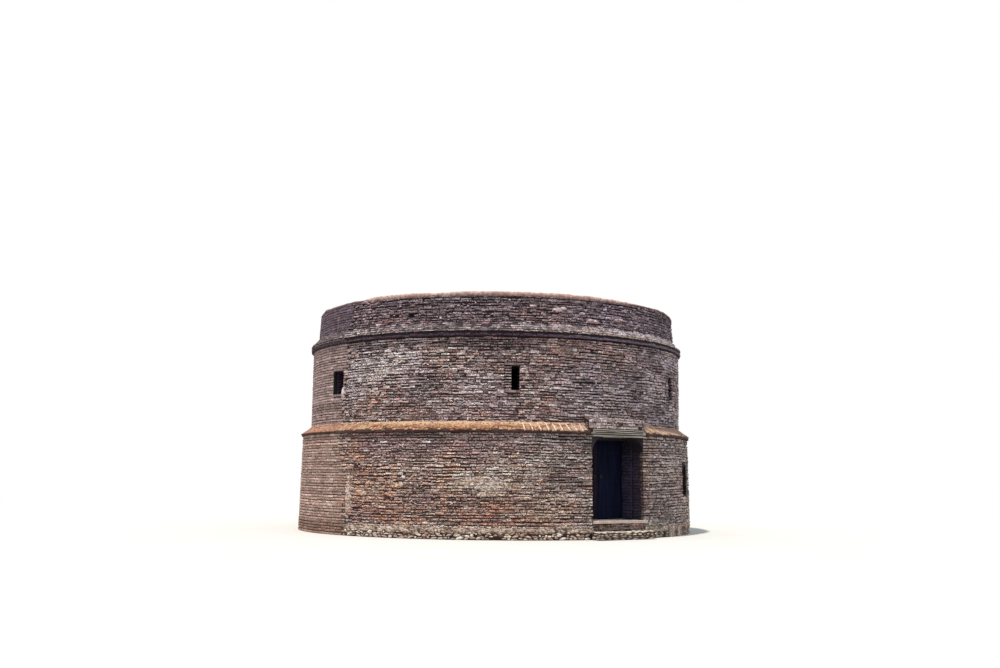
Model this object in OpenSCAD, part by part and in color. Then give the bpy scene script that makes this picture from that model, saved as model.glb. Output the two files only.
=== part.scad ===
// Round brick watchtower: a battered lower storey with a doorway, a tiled ledge, an upper storey
// with a row of small windows, a moulding and a parapet round a flat terrace.
// Millimetres. The origin is on the tower's axis at ground level, +Z is up, and the doorway faces -Y.
// A bearing is an angle from the doorway's direction, positive towards +X.

/* [Walls] */
// Outer radius of the wall at the ground
base_r = 5727; // [5000:1:6500]
// Thickness of the wall at the ground
wall_thick = 1277; // [1150:1:1500]
// Inward lean of the lower wall's face over its height
batter = 54; // [20:1:100]
// Distance that the upper wall stands back from the top of the lower wall
upper_setback = 233; // [180:1:300]
// Distance that the parapet's foot stands back from the upper wall
parapet_setback = 146; // [90:1:220]
// Inward lean of the parapet's face
parapet_lean = 43; // [0:1:60]
// Thickness of the parapet
parapet_thick = 500; // [400:1:600]

/* [Heights] */
// Height of the rubble foundation that shows above the ground
foundation_h = 290; // [200:1:380]
// Top of the lower wall, under the tiled ledge
lower_h = 2640; // [2600:1:2750]
// Top of the upper wall, under the moulding
upper_h = 5050; // [4950:1:5150]
// Height of the whole tower
overall_h = 6253; // [6000:1:6500]

/* [Ledge, moulding and coping] */
// How far the ledge's tiles stand out past the lower wall
ledge_nose = 58; // [30:1:90]
// Thickness of the ledge at its nose
ledge_edge = 65; // [40:1:90]
// Rise of the ledge from its nose to the upper wall
ledge_rise = 190; // [120:1:240]
// How far the moulding stands out past the upper wall
moulding_nose = 64; // [30:1:90]
// Height of the cove under the moulding's face
moulding_cove = 30; // [10:1:50]
// Height of the moulding's upright face
moulding_face = 150; // [100:1:190]
// Rise of the moulding from its face to the parapet
moulding_rise = 220; // [120:1:300]
// Height of the mortar coping
coping_h = 77; // [50:1:120]
// How far the coping's top edges are drawn in
coping_slope = 20; // [5:1:60]

/* [Floors] */
// Thickness of the upper floor's boards
board_t = 50; // [30:1:80]
// Width of a floor beam
beam_w = 200; // [140:1:260]
// Depth of a floor beam
beam_d = 240; // [180:1:260]
// Number of beams under each floor
beam_count = 7; // [5:1:9]
// Distance from the wall to the outer beams' centre lines
beam_edge = 700; // [500:1:900]
// Height of the upper floor above the lower wall
upper_floor_rise = 260; // [220:1:400]
// Thickness of the terrace slab over the upper room
terrace_t = 250; // [180:1:260]
// Thickness of the terrace's paving over the wall head
paving_t = 100; // [60:1:140]

/* [Doorway] */
// Clear width of the doorway in the wall's face
door_w = 1720; // [1600:1:1800]
// Height of the threshold above the ground
sill_h = 470; // [420:1:520]
// Thickness of the threshold slab
threshold_t = 70; // [40:1:100]
// How far the threshold stands out of the wall's face
threshold_nose = 60; // [30:1:100]
// Thickness of the boards of the doorway's lintel
lintel_t = 65; // [50:1:120]
// Depth of the outer recess
recess_depth = 510; // [400:1:560]
// Step between the recess and the narrower reveal behind it, at each side and overhead
reveal_step = 60; // [40:1:90]
// Depth of the narrower reveal
reveal_depth = 370; // [250:1:420]
// How much the passage behind the frame widens at each side
passage_widening = 80; // [60:1:140]
// Radius of the corbelled corners under the lintel
corbel_r = 340; // [250:1:420]
// Thickness of a corbel's thin ends
corbel_lip = 25; // [15:1:40]
// Distance from the wall's face to the corbels
corbel_setback = 110; // [60:1:160]
// Distance that the panel over the door runs past each side of the doorway
panel_side = 80; // [20:1:120]
// Height of the panel over the door, above the lower wall
panel_h = 360; // [300:1:420]
// Rise of the panel's sloping top
panel_slope = 70; // [20:1:100]

/* [Steps] */
// Height of the lower step
step_h = 220; // [180:1:260]
// How far the lower step stands out of the wall's face
step_out = 320; // [280:1:450]
// Width of the lower step
step_w = 1900; // [1750:1:2100]

/* [Windows] */
// Height of the upper windows' sills above the lower wall
window_rise = 1060; // [960:1:1200]
// Height of the upper windows
window_h = 635; // [500:1:680]
// Width of the windows that flank the doorway's side of the tower
window_front_w = 390; // [330:1:450]
// Width of the windows at the two sides
window_side_w = 470; // [380:1:520]
// Width of the windows at the back
window_back_w = 420; // [350:1:500]
// Thickness of a window's sill and lintel slabs
window_slab_t = 60; // [40:1:90]
// How far the sill slabs stand out of the wall
window_slab_out = 18; // [5:1:40]
// Width of the masonry that narrows the window at the doorway's left
infill_w = 180; // [120:1:220]
// Depth of that masonry through the wall
infill_d = 200; // [100:1:400]
// Distance from the wall's face to that masonry
infill_setback = 40; // [20:1:100]
// Height of the lower slits' sills
slit_sill_h = 1060; // [950:1:1150]
// Height of the lower slits
slit_h = 900; // [700:1:950]
// Width of the lower slits
slit_w = 500; // [350:1:560]

/* [Door frame and leaves] */
// Clear width between the frame's posts
frame_clear = 1540; // [1440:1:1560]
// Depth of the frame's posts and head, through the wall
frame_d = 90; // [80:1:120]
// Height of the frame's head piece
frame_head_h = 75; // [60:1:110]
// Thickness of a leaf's boards
leaf_t = 50; // [40:1:60]
// Gap between a leaf and the frame or the floor
leaf_gap = 8; // [6:1:12]
// Half of the gap where the leaves meet
meeting_gap = 8; // [7:1:12]
// Distance from the frame's front to a leaf's front
leaf_setback = 35; // [25:1:40]
// Width of a ledge board on a leaf's back
ledger_w = 140; // [100:1:180]
// Thickness of a ledge board
ledger_t = 30; // [20:1:36]
// Distance from a leaf's edges to its ledge boards
ledger_inset = 55; // [50:1:80]
// Distance from a leaf's top or bottom to the middle of its outer ledge boards
ledger_end = 260; // [200:1:360]

/* [Door ironwork] */
// Radius of a hinge pin
pin_r = 8; // [6:0.5:10]
// Radial clearance round a hinge pin
pin_clear = 0.1; // [0.05:0.05:0.2]
// Outer radius of a strap's eye
eye_r = 19; // [16:0.5:22]
// Height of a strap
strap_h = 44; // [36:1:56]
// Thickness of a strap
strap_t = 7; // [5:1:9]
// Length of a strap from its hinge pin
strap_len = 560; // [400:1:640]
// Distance from a strap's eye to the post
eye_gap = 5; // [5:0.5:8]
// Distance from a hinge pin to the leaf's edge
pin_gap = 2; // [1:0.5:4]
// Vertical play between a strap's eye and the pintle that carries it
eye_play = 2; // [1:0.5:4]
// Height of a pintle's shank
shank_h = 16; // [12:1:22]
// Thickness of a pintle's plate on the post
pintle_plate_t = 5; // [4:0.5:8]
// Height of a pintle's plate
pintle_plate_h = 100; // [80:1:130]
// Radius of a pull ring, to the middle of its bar
ring_r = 55; // [40:1:70]
// Radius of a pull ring's bar
ring_bar_r = 7; // [5:0.5:9]
// Height of the pull rings above the threshold
ring_h = 1100; // [900:1:1250]
// Distance from the leaves' meeting line to a pull ring
ring_x = 105; // [95:1:160]
// Radius of the round plate behind a pull ring
rose_r = 42; // [30:1:50]
// Thickness of that plate
rose_t = 6; // [4:0.5:10]
// Gap between a pull ring and its plate
ring_stand = 4; // [2:0.5:8]

/* [Hidden] */
$fn = 256;

// A length longer than the tower is wide, for cutting shapes
far = 2 * base_r;

// Bearings of the upper windows, counted round from the doorway's left
window_bearings = [-86, -30, 30, 86, 150, 210];
window_widths = [window_side_w, window_front_w, window_front_w,
                 window_side_w, window_back_w, window_back_w];
// Bearings of the lower slits: beside the doorway and opposite to it
slit_bearings = [35.5, 215.5];
// Bearing of the upright joint between the old front and the rebuilt side
joint_bearing = -79;

// Half angle of the sector of wall that fills the space over or under an opening
fill_sector = 25;

// Radii of the room in both storeys, of the lower wall's top, of the upper wall and of the parapet's foot
room_r = base_r - wall_thick;
wall_top_r = base_r - batter;
upper_r = wall_top_r - upper_setback;
parapet_r = upper_r - parapet_setback;

// Plane of the doorway's face, halfway up the battered wall
face_y = -(base_r - batter / 2);
recess_back_y = face_y + recess_depth;
frame_front_y = recess_back_y + reveal_depth;
frame_back_y = frame_front_y + frame_d;
reveal_w = door_w - 2 * reveal_step;
passage_w = reveal_w + 2 * passage_widening;
door_head_h = lower_h - lintel_t;
reveal_head_h = door_head_h - reveal_step;
panel_w = door_w + 2 * panel_side;

window_sill_h = lower_h + window_rise;
window_head_h = window_sill_h + window_h;
slit_head_h = slit_sill_h + slit_h;

upper_floor_h = lower_h + upper_floor_rise;
beam_reach = room_r - beam_edge;
beam_pitch = 2 * beam_reach / (beam_count - 1);

parapet_in_r = parapet_r - parapet_thick;
parapet_top_r = parapet_r - parapet_lean;
parapet_top_h = overall_h - coping_h;

leaf_front_y = frame_front_y + leaf_setback;
leaf_back_y = leaf_front_y + leaf_t;
leaf_bottom = sill_h + leaf_gap;
leaf_top = reveal_head_h - frame_head_h - leaf_gap;
leaf_edge_x = frame_clear / 2 - leaf_gap;
pin_x = leaf_edge_x + pin_r + pin_gap;
pin_y = frame_back_y + eye_r + eye_gap;
ledger_back_y = leaf_back_y + ledger_t;
strap_heights = [leaf_bottom + ledger_end, leaf_top - ledger_end];
ledger_heights = [leaf_bottom + ledger_end, (leaf_bottom + leaf_top) / 2, leaf_top - ledger_end];

// Turns an outline of radius and height about the tower's axis, from one bearing to another
module arc_body(from, to) {
    rotate_extrude(angle = to - from, start = from - 90)
        children();
}

// Outline of the lower wall between two heights
module lower_outline(bottom, top) {
    intersection() {
        polygon([[room_r, 0], [base_r, 0], [wall_top_r, lower_h], [room_r, lower_h]]);
        translate([0, bottom])
            square([far, top - bottom]);
    }
}

// Outline of the upper wall between two heights
module upper_outline(bottom, top) {
    polygon([[room_r, bottom], [upper_r, bottom], [upper_r, top], [room_r, top]]);
}

// An upright column through the wall at a bearing, as wide as an opening
module opening_column(bearing, width, bottom, top) {
    rotate([0, 0, bearing])
        translate([-width / 2, -far, bottom])
            cube([width, far, top - bottom]);
}

// Plan of the outer recess, from a line in front of the wall to its back
module recess_plan(front_y) {
    translate([-door_w / 2, front_y])
        square([door_w, recess_back_y - front_y]);
}

// Plan of the reveal and of the passage behind it
module passage_plan() {
    translate([-reveal_w / 2, recess_back_y])
        square([reveal_w, reveal_depth]);
    translate([-passage_w / 2, frame_front_y])
        square([passage_w, -frame_front_y]);
}

// Everything that the doorway takes out of the wall
module doorway_void() {
    translate([0, 0, -1])
        linear_extrude(lower_h + 2) {
            recess_plan(-far);
            passage_plan();
        }
}

// The foundation's rubble between two bearings
module foundation_arc(from, to) {
    color("#8d8a80")
        difference() {
            arc_body(from, to)
                lower_outline(0, foundation_h);
            doorway_void();
        }
}

module foundation_left() {
    foundation_arc(-180, 0);
}

module foundation_right() {
    foundation_arc(0, 180);
}

// The masonry under the threshold, from the wall's face to the room
module door_sill() {
    color("#8a6c5c")
        intersection() {
            arc_body(-90, 90)
                lower_outline(0, sill_h - threshold_t);
            linear_extrude(sill_h) {
                recess_plan(-far);
                passage_plan();
            }
        }
}

// The slab that is trodden on in the doorway
module threshold() {
    color("#b09678")
        translate([0, 0, sill_h - threshold_t])
            difference() {
                linear_extrude(threshold_t) {
                    recess_plan(face_y - threshold_nose);
                    passage_plan();
                }
                translate([0, 0, -1])
                    cylinder(r = room_r, h = threshold_t + 2);
            }
}

// The cobble step on the ground in front of the wall
module lower_step() {
    color("#8d8a80")
        difference() {
            translate([-step_w / 2, face_y - step_out, 0])
                cube([step_w, step_out - face_y, step_h]);
            rotate_extrude()
                polygon([[0, -lower_h], [base_r + batter, -lower_h], [wall_top_r, lower_h], [0, lower_h]]);
        }
}

// A pier of the lower wall between two bearings, less the doorway and the slits
module lower_pier(from, to) {
    color("#7d6157")
        difference() {
            arc_body(from, to)
                lower_outline(foundation_h, lower_h);
            doorway_void();
            for (bearing = slit_bearings)
                opening_column(bearing, slit_w, foundation_h - 1, lower_h + 1);
        }
}

module lower_wall_front_left() {
    lower_pier(joint_bearing, 0);
}

module lower_wall_front_right() {
    lower_pier(0, slit_bearings[0]);
}

module lower_wall_right() {
    lower_pier(slit_bearings[0], 90);
}

module lower_wall_back_right() {
    lower_pier(90, 180);
}

module lower_wall_back() {
    lower_pier(180, slit_bearings[1]);
}

module lower_wall_back_left() {
    lower_pier(slit_bearings[1], 360 + joint_bearing);
}

// Fills the slits' columns in the lower wall between two heights
module slit_fill(bottom, top) {
    for (bearing = slit_bearings)
        intersection() {
            arc_body(bearing - fill_sector, bearing + fill_sector)
                lower_outline(bottom, top);
            opening_column(bearing, slit_w, bottom - 1, top + 1);
        }
}

module slit_aprons() {
    color("#7d6157")
        slit_fill(foundation_h, slit_sill_h);
}

module slit_heads() {
    color("#7d6157")
        slit_fill(slit_head_h, lower_h);
}

// The boards that span the recess in the wall's face
module door_lintel() {
    color("#a39b8f")
        intersection() {
            arc_body(-90, 90)
                lower_outline(door_head_h, lower_h);
            linear_extrude(lower_h)
                recess_plan(-far);
        }
}

// The masonry that closes the top of the reveal and passage
module door_head() {
    color("#6e564d")
        intersection() {
            arc_body(-90, 90)
                lower_outline(reveal_head_h, lower_h);
            linear_extrude(lower_h)
                passage_plan();
        }
}

// One corbelled corner in the recess, at the left for side -1 and at the right for side 1
module door_corbel(side) {
    size = corbel_r + corbel_lip;
    depth = recess_depth - corbel_setback;
    translate([side * door_w / 2, recess_back_y, door_head_h])
        rotate([90, 0, 0])
            linear_extrude(depth)
                mirror([side > 0 ? 1 : 0, 0])
                    difference() {
                        translate([0, -size])
                            square([size, size]);
                        translate([size, -size])
                            circle(r = corbel_r);
                    }
}

module door_corbels() {
    color("#6e564d")
        for (side = [-1, 1])
            door_corbel(side);
}

// The flush panel over the doorway, between the ends of the tiled ledge
module over_door_panel() {
    panel_top = lower_h + panel_h;
    color("#8b7f76")
        intersection() {
            arc_body(-90, 90)
                polygon([[upper_r, lower_h], [wall_top_r, lower_h], [wall_top_r, panel_top],
                         [upper_r, panel_top + panel_slope]]);
            opening_column(0, panel_w, lower_h - 1, panel_top + panel_slope + 1);
        }
}

// Posts and head of the timber frame that the leaves hang in
module door_frame() {
    color("#3c352f")
        translate([0, frame_front_y, 0])
            difference() {
                translate([-passage_w / 2, 0, sill_h])
                    cube([passage_w, frame_d, reveal_head_h - sill_h]);
                translate([-frame_clear / 2, -1, sill_h - 1])
                    cube([frame_clear, frame_d + 2, reveal_head_h - frame_head_h - sill_h + 1]);
            }
}

// One pintle: a plate on the post's back, a shank and the upright pin on it
module pintle(z) {
    shank_top = z - strap_h / 2 - eye_play;
    plate_w = 2 * eye_r;
    translate([pin_x, frame_back_y, shank_top - shank_h / 2 - pintle_plate_h / 2])
        cube([plate_w, pintle_plate_t, pintle_plate_h]);
    translate([pin_x - pin_r, frame_back_y, shank_top - shank_h])
        cube([2 * pin_r, pin_y - frame_back_y, shank_h]);
    translate([pin_x, pin_y, shank_top - shank_h])
        cylinder(r = pin_r, h = shank_h + strap_h + 2 * eye_play);
}

module door_pintles() {
    color("#2b2b2d")
        for (side = [0, 1], z = strap_heights)
            mirror([side, 0, 0])
                pintle(z);
}

// The right-hand leaf's boards
module leaf() {
    translate([meeting_gap, leaf_front_y, leaf_bottom])
        cube([leaf_edge_x - meeting_gap, leaf_t, leaf_top - leaf_bottom]);
}

// The three ledge boards across the back of the right-hand leaf
module leaf_ledgers() {
    for (z = ledger_heights)
        translate([meeting_gap + ledger_inset, leaf_back_y, z - ledger_w / 2])
            cube([leaf_edge_x - meeting_gap - 2 * ledger_inset, ledger_t, ledger_w]);
}

// A strap on the right-hand leaf's back, with the eye that turns on the pintle
module strap(z) {
    translate([pin_x, pin_y, z - strap_h / 2])
        difference() {
            union() {
                cylinder(r = eye_r, h = strap_h);
                translate([-strap_len, ledger_back_y - pin_y, 0])
                    cube([strap_len, strap_t, strap_h]);
            }
            translate([0, 0, -1])
                cylinder(r = pin_r + pin_clear, h = strap_h + 2);
        }
}

// A pull ring that hangs on a round plate on the right-hand leaf's front
module pull_ring() {
    translate([ring_x, leaf_front_y, sill_h + ring_h])
        rotate([90, 0, 0]) {
            cylinder(r = rose_r, h = rose_t);
            translate([0, -ring_r, rose_t + ring_stand + ring_bar_r])
                rotate_extrude()
                    translate([ring_r, 0])
                        circle(r = ring_bar_r);
            cylinder(r = 2 * ring_bar_r, h = rose_t + 2 * ring_stand + 2 * ring_bar_r);
        }
}

module leaf_ironwork() {
    for (z = strap_heights)
        strap(z);
    pull_ring();
}

module left_leaf() {
    color("#3c352f")
        mirror([1, 0, 0])
            leaf();
}

module left_leaf_ledgers() {
    color("#463d35")
        mirror([1, 0, 0])
            leaf_ledgers();
}

module left_leaf_ironwork() {
    color("#2b2b2d")
        mirror([1, 0, 0])
            leaf_ironwork();
}

module right_leaf() {
    color("#3c352f")
        leaf();
}

module right_leaf_ledgers() {
    color("#463d35")
        leaf_ledgers();
}

module right_leaf_ironwork() {
    color("#2b2b2d")
        leaf_ironwork();
}

// The sloping tiled ledge between two bearings, stopping at the panel over the door
module tile_ledge(from, to) {
    nose_r = wall_top_r + ledge_nose;
    color("#b8703f")
        difference() {
            arc_body(from, to)
                polygon([[upper_r, lower_h], [nose_r, lower_h], [nose_r, lower_h + ledge_edge],
                         [upper_r, lower_h + ledge_edge + ledge_rise]]);
            opening_column(0, panel_w, lower_h - 1, upper_h);
        }
}

module tile_ledge_left() {
    tile_ledge(-180, 0);
}

module tile_ledge_right() {
    tile_ledge(0, 180);
}

// A pier of the upper wall from one window to the next, counted from the doorway's left
module upper_pier(index) {
    last = len(window_bearings) - 1;
    from = window_bearings[index];
    to = index < last ? window_bearings[index + 1] : 360 + window_bearings[0];
    next = index < last ? index + 1 : 0;
    color("#83665c")
        difference() {
            arc_body(from, to)
                upper_outline(lower_h, upper_h);
            opening_column(from, window_widths[index], lower_h - 1, upper_h + 1);
            opening_column(to, window_widths[next], lower_h - 1, upper_h + 1);
        }
}

module upper_wall_front_left() {
    upper_pier(0);
}

module upper_wall_front() {
    upper_pier(1);
}

module upper_wall_front_right() {
    upper_pier(2);
}

module upper_wall_back_right() {
    upper_pier(3);
}

module upper_wall_back() {
    upper_pier(4);
}

module upper_wall_back_left() {
    upper_pier(5);
}

// Fills the windows' columns between two heights, with a face that may stand out of the wall
module window_fill(bottom, top, out = 0) {
    for (i = [0 : len(window_bearings) - 1])
        intersection() {
            arc_body(window_bearings[i] - fill_sector, window_bearings[i] + fill_sector)
                polygon([[room_r, bottom], [upper_r + out, bottom], [upper_r + out, top], [room_r, top]]);
            opening_column(window_bearings[i], window_widths[i], bottom - 1, top + 1);
        }
}

module window_aprons() {
    color("#83665c")
        window_fill(lower_h, window_sill_h - window_slab_t);
}

module window_sills() {
    color("#b5aea2")
        window_fill(window_sill_h - window_slab_t, window_sill_h, window_slab_out);
}

module window_lintels() {
    color("#a89f92")
        window_fill(window_head_h, window_head_h + window_slab_t);
}

module window_heads() {
    color("#83665c")
        window_fill(window_head_h + window_slab_t, upper_h);
}

// The masonry that stands on one window's sill, against its left side
module window_infill() {
    bearing = window_bearings[1];
    front_r = upper_r - infill_setback;
    color("#83665c")
        intersection() {
            arc_body(bearing - fill_sector, bearing + fill_sector)
                translate([front_r - infill_d, window_sill_h])
                    square([infill_d, window_h]);
            rotate([0, 0, bearing])
                translate([-window_widths[1] / 2, -far, window_sill_h - 1])
                    cube([infill_w, far, window_h + 2]);
        }
}

// The sloping moulding at the parapet's foot, between two bearings
module moulding(from, to) {
    nose_r = upper_r + moulding_nose;
    face_bottom = upper_h + moulding_cove;
    face_top = face_bottom + moulding_face;
    color("#6c5350")
        arc_body(from, to)
            polygon([[parapet_r, upper_h], [upper_r, upper_h], [nose_r, face_bottom],
                     [nose_r, face_top], [parapet_r, face_top + moulding_rise]]);
}

module moulding_left() {
    moulding(-180, 0);
}

module moulding_right() {
    moulding(0, 180);
}

// The parapet wall between two bearings: upright behind the moulding and leaning in above it
module parapet(from, to) {
    foot_h = upper_h + moulding_cove + moulding_face + moulding_rise;
    color("#7a5d52")
        arc_body(from, to)
            polygon([[parapet_in_r, upper_h], [parapet_r, upper_h], [parapet_r, foot_h],
                     [parapet_top_r, parapet_top_h], [parapet_in_r, parapet_top_h]]);
}

module parapet_left() {
    parapet(-180, 0);
}

module parapet_right() {
    parapet(0, 180);
}

// The mortar coping between two bearings
module coping(from, to) {
    color("#c9bda9")
        arc_body(from, to)
            polygon([[parapet_in_r, parapet_top_h], [parapet_top_r, parapet_top_h],
                     [parapet_top_r - coping_slope, overall_h], [parapet_in_r + coping_slope, overall_h]]);
}

module coping_left() {
    coping(-180, 0);
}

module coping_right() {
    coping(0, 180);
}

// The filled and paved ground floor
module ground_floor() {
    color("#8b7a6c")
        cylinder(r = room_r, h = sill_h);
}

// Round floor of boards on the beams
module upper_floor() {
    color("#6e5a45")
        translate([0, 0, upper_floor_h - board_t])
            cylinder(r = room_r, h = board_t);
}

// Parallel beams from wall to wall, with their tops at one height
module beams(top) {
    intersection() {
        for (i = [0 : beam_count - 1])
            translate([-far, i * beam_pitch - beam_reach - beam_w / 2, top - beam_d])
                cube([2 * far, beam_w, beam_d]);
        translate([0, 0, top - beam_d - 1])
            cylinder(r = room_r, h = beam_d + 2);
    }
}

module upper_floor_beams() {
    color("#5c4a38")
        beams(upper_floor_h - board_t);
}

// The terrace slab between the walls, and its paving over the wall head up to the parapet
module terrace() {
    color("#a58672")
        rotate_extrude()
            polygon([[0, upper_h - terrace_t], [room_r, upper_h - terrace_t], [room_r, upper_h],
                     [parapet_in_r, upper_h], [parapet_in_r, upper_h + paving_t], [0, upper_h + paving_t]]);
}

module roof_beams() {
    color("#5c4a38")
        beams(upper_h - terrace_t);
}

foundation_left();
foundation_right();
door_sill();
threshold();
lower_step();
lower_wall_front_left();
lower_wall_front_right();
lower_wall_right();
lower_wall_back_right();
lower_wall_back();
lower_wall_back_left();
slit_aprons();
slit_heads();
door_lintel();
door_head();
door_corbels();
over_door_panel();
door_frame();
door_pintles();
left_leaf();
left_leaf_ledgers();
left_leaf_ironwork();
right_leaf();
right_leaf_ledgers();
right_leaf_ironwork();
tile_ledge_left();
tile_ledge_right();
upper_wall_front();
upper_wall_front_right();
upper_wall_back_right();
upper_wall_back();
upper_wall_back_left();
upper_wall_front_left();
window_aprons();
window_heads();
window_sills();
window_lintels();
window_infill();
moulding_left();
moulding_right();
parapet_left();
parapet_right();
coping_left();
coping_right();
ground_floor();
upper_floor();
upper_floor_beams();
terrace();
roof_beams();
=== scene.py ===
"""The looks of a round brick watchtower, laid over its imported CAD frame.

Metres. The origin is on the tower's axis at ground level, +Z is up, and the doorway faces -Y.
A bearing is an angle from the doorway's direction, in degrees, positive towards +X.
"""
import math
import random

import bmesh
import bpy
import numpy as np
from mathutils import Matrix, Vector, noise


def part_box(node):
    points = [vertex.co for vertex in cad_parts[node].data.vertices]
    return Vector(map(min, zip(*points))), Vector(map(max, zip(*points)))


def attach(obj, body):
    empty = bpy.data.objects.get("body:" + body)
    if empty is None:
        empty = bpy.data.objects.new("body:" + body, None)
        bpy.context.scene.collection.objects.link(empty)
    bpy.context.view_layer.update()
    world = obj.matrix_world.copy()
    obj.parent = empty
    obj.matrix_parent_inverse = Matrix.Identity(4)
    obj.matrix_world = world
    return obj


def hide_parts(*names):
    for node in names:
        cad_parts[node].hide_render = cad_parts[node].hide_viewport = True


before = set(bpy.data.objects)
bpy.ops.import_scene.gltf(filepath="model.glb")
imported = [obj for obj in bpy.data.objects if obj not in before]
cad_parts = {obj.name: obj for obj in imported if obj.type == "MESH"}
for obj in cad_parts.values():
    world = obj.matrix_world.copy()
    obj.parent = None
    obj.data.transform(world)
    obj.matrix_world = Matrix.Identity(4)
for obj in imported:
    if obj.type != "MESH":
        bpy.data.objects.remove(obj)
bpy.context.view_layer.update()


# Ground, sky and sun. A pale floor takes the tower's short shadow under a high sun on its left, and a
# soft even sky fills the shade. To the camera the sky and the far floor are plain white.

def pigment(red, green, blue):
    """A colour as a chart gives it, 0 to 255, turned into the light values that the shaders take."""
    shares = [value / 255 for value in (red, green, blue)]
    return tuple(s / 12.92 if s <= 0.04045 else ((s + 0.055) / 1.055) ** 2.4 for s in shares)


def join(slot, value):
    """Gives a socket its value, or links it to the node that works the value out."""
    if isinstance(value, Wire):
        slot.id_data.links.new(value.socket, slot)
    elif slot.type == "RGBA":
        slot.default_value = (*value[:3], 1.0)
    else:
        slot.default_value = value


class Wire:
    """A number in a node tree. A sum written with it adds its Math nodes."""

    def __init__(self, socket):
        self.socket = socket

    def maths(self, operation, *values):
        node = self.socket.id_data.nodes.new("ShaderNodeMath")
        node.operation = operation
        for slot, value in zip(node.inputs, values):
            join(slot, value)
        return Wire(node.outputs[0])

    def __add__(self, other):
        return self.maths("ADD", self, other)

    def __sub__(self, other):
        return self.maths("SUBTRACT", self, other)

    def __mul__(self, other):
        return self.maths("MULTIPLY", self, other)

    def __radd__(self, other):
        return self.maths("ADD", other, self)

    def __rsub__(self, other):
        return self.maths("SUBTRACT", other, self)

    def __rmul__(self, other):
        return self.maths("MULTIPLY", other, self)


class Finish:
    """The node tree of one finish. add() makes any node from its kind, its settings and its sockets."""

    def __init__(self, tree):
        self.tree = tree

    def add(self, kind, settings=None, out=0, **values):
        node = self.tree.nodes.new("ShaderNode" + kind)
        for name, value in (settings or {}).items():
            setattr(node, name, value)
        for name, value in values.items():
            plain = name.replace("_", " ")
            join(next(s for s in node.inputs if s.identifier == name or s.name == plain), value)
        return Wire(node.outputs[out]) if node.outputs else None

    def place(self, stretch=(1.0, 1.0, 1.0), shift=(0.0, 0.0, 0.0)):
        """Places on the object, in metres, stretched and shifted."""
        places = self.add("TexCoord", out="Object")
        return self.add("Mapping", Vector=places, Scale=stretch, Location=shift)

    def grain(self, scale, detail=3.0, stretch=(1.0, 1.0, 1.0), shift=(0.0, 0.0, 0.0)):
        """Even noise about 0.5, with `scale` lumps to the metre."""
        return self.add("TexNoise", Vector=self.place(stretch, shift), Scale=scale, Detail=detail)

    def ease(self, value, low, high):
        """0 at `low`, 1 at `high` and a soft run between them."""
        settings = {"interpolation_type": "SMOOTHSTEP"}
        return self.add("MapRange", settings, Value=value, From_Min=low, From_Max=high)

    def level(self):
        """Height above the ground, in metres."""
        return Wire(self.add("SeparateXYZ", Vector=self.place()).socket.node.outputs[2])

    def facing_up(self):
        """1 where the surface looks straight up, 0 where it is upright and -1 underneath."""
        normal = self.add("NewGeometry", out="Normal")
        return Wire(self.add("SeparateXYZ", Vector=normal).socket.node.outputs[2])

    def kept(self, name, out="Fac"):
        """What the mesh keeps under a name, as a number or, with "Color", as a colour."""
        return self.add("Attribute", {"attribute_name": name}, out=out)

    def blend(self, amount, first, second, kind="MIX"):
        """The first colour turned into the second by an amount. Each is a wire or a chart's colour."""
        first, second = (color if isinstance(color, Wire) else pigment(*color) for color in (first, second))
        settings = {"data_type": "RGBA", "blend_type": kind}
        return self.add("Mix", settings, out=2, Factor_Float=amount, A_Color=first, B_Color=second)

    def turned(self, value, low, high, first, second, share=None):
        """The first colour where a value is under `low`, and the second, or a share of it, over `high`."""
        amount = self.ease(value, low, high)
        return self.blend(amount * share if share else amount, first, second)

    def either(self, amount, first, second):
        """The first shader turned into the second by an amount."""
        node = self.add("MixShader", Fac=amount, Shader=first).socket.node
        join(node.inputs[2], second)
        return Wire(node.outputs[0])

    def surface(self, color, roughness, height, relief, **values):
        """Joins a colour, a roughness and a relief in metres to the finish's output."""
        bump = self.add("Bump", Height=height, Distance=relief)
        shader = self.add("BsdfPrincipled", Base_Color=color, Roughness=roughness, Normal=bump, **values)
        self.add("OutputMaterial", Surface=shader)


def new_finish(name):
    """An empty finish with its material."""
    material = bpy.data.materials.new(name)
    material.use_nodes = True
    material.node_tree.nodes.clear()
    return material, Finish(material.node_tree)


def stood(name, data):
    """Stands a new object in the scene."""
    thing = bpy.data.objects.new(name, data)
    bpy.context.collection.objects.link(thing)
    return thing


def shown(bm, name, *materials):
    """Makes a named object of a bmesh, at the origin."""
    mesh = bpy.data.meshes.new(name)
    bm.to_mesh(mesh)
    bm.free()
    for material in materials:
        mesh.materials.append(material)
    return stood(name, mesh)


floor_size = 400
floor_near = 13
floor_far = 34
bm = bmesh.new()
bmesh.ops.create_grid(bm, x_segments=8, y_segments=8, size=floor_size / 2)
floor_material, floor_finish = new_finish("pale_floor")
plaster = floor_finish.blend(floor_finish.grain(0.6, 5.0), (196, 193, 187), (204, 202, 198))
looked_at = floor_finish.add("LightPath", out="Is Camera Ray")
ground = floor_finish.blend(looked_at, (150, 142, 134), plaster)
matt = floor_finish.add("BsdfDiffuse", Color=ground)
glow = floor_finish.add("Emission", Color=(1, 1, 1), Strength=1.0)
reach = floor_finish.add("VectorMath", {"operation": "LENGTH"}, out="Value", Vector=floor_finish.place())
far_off = floor_finish.ease(reach, floor_near, floor_far) * looked_at
floor_finish.add("OutputMaterial", Surface=floor_finish.either(far_off, matt, glow))
floor = shown(bm, "floor", floor_material)

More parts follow.
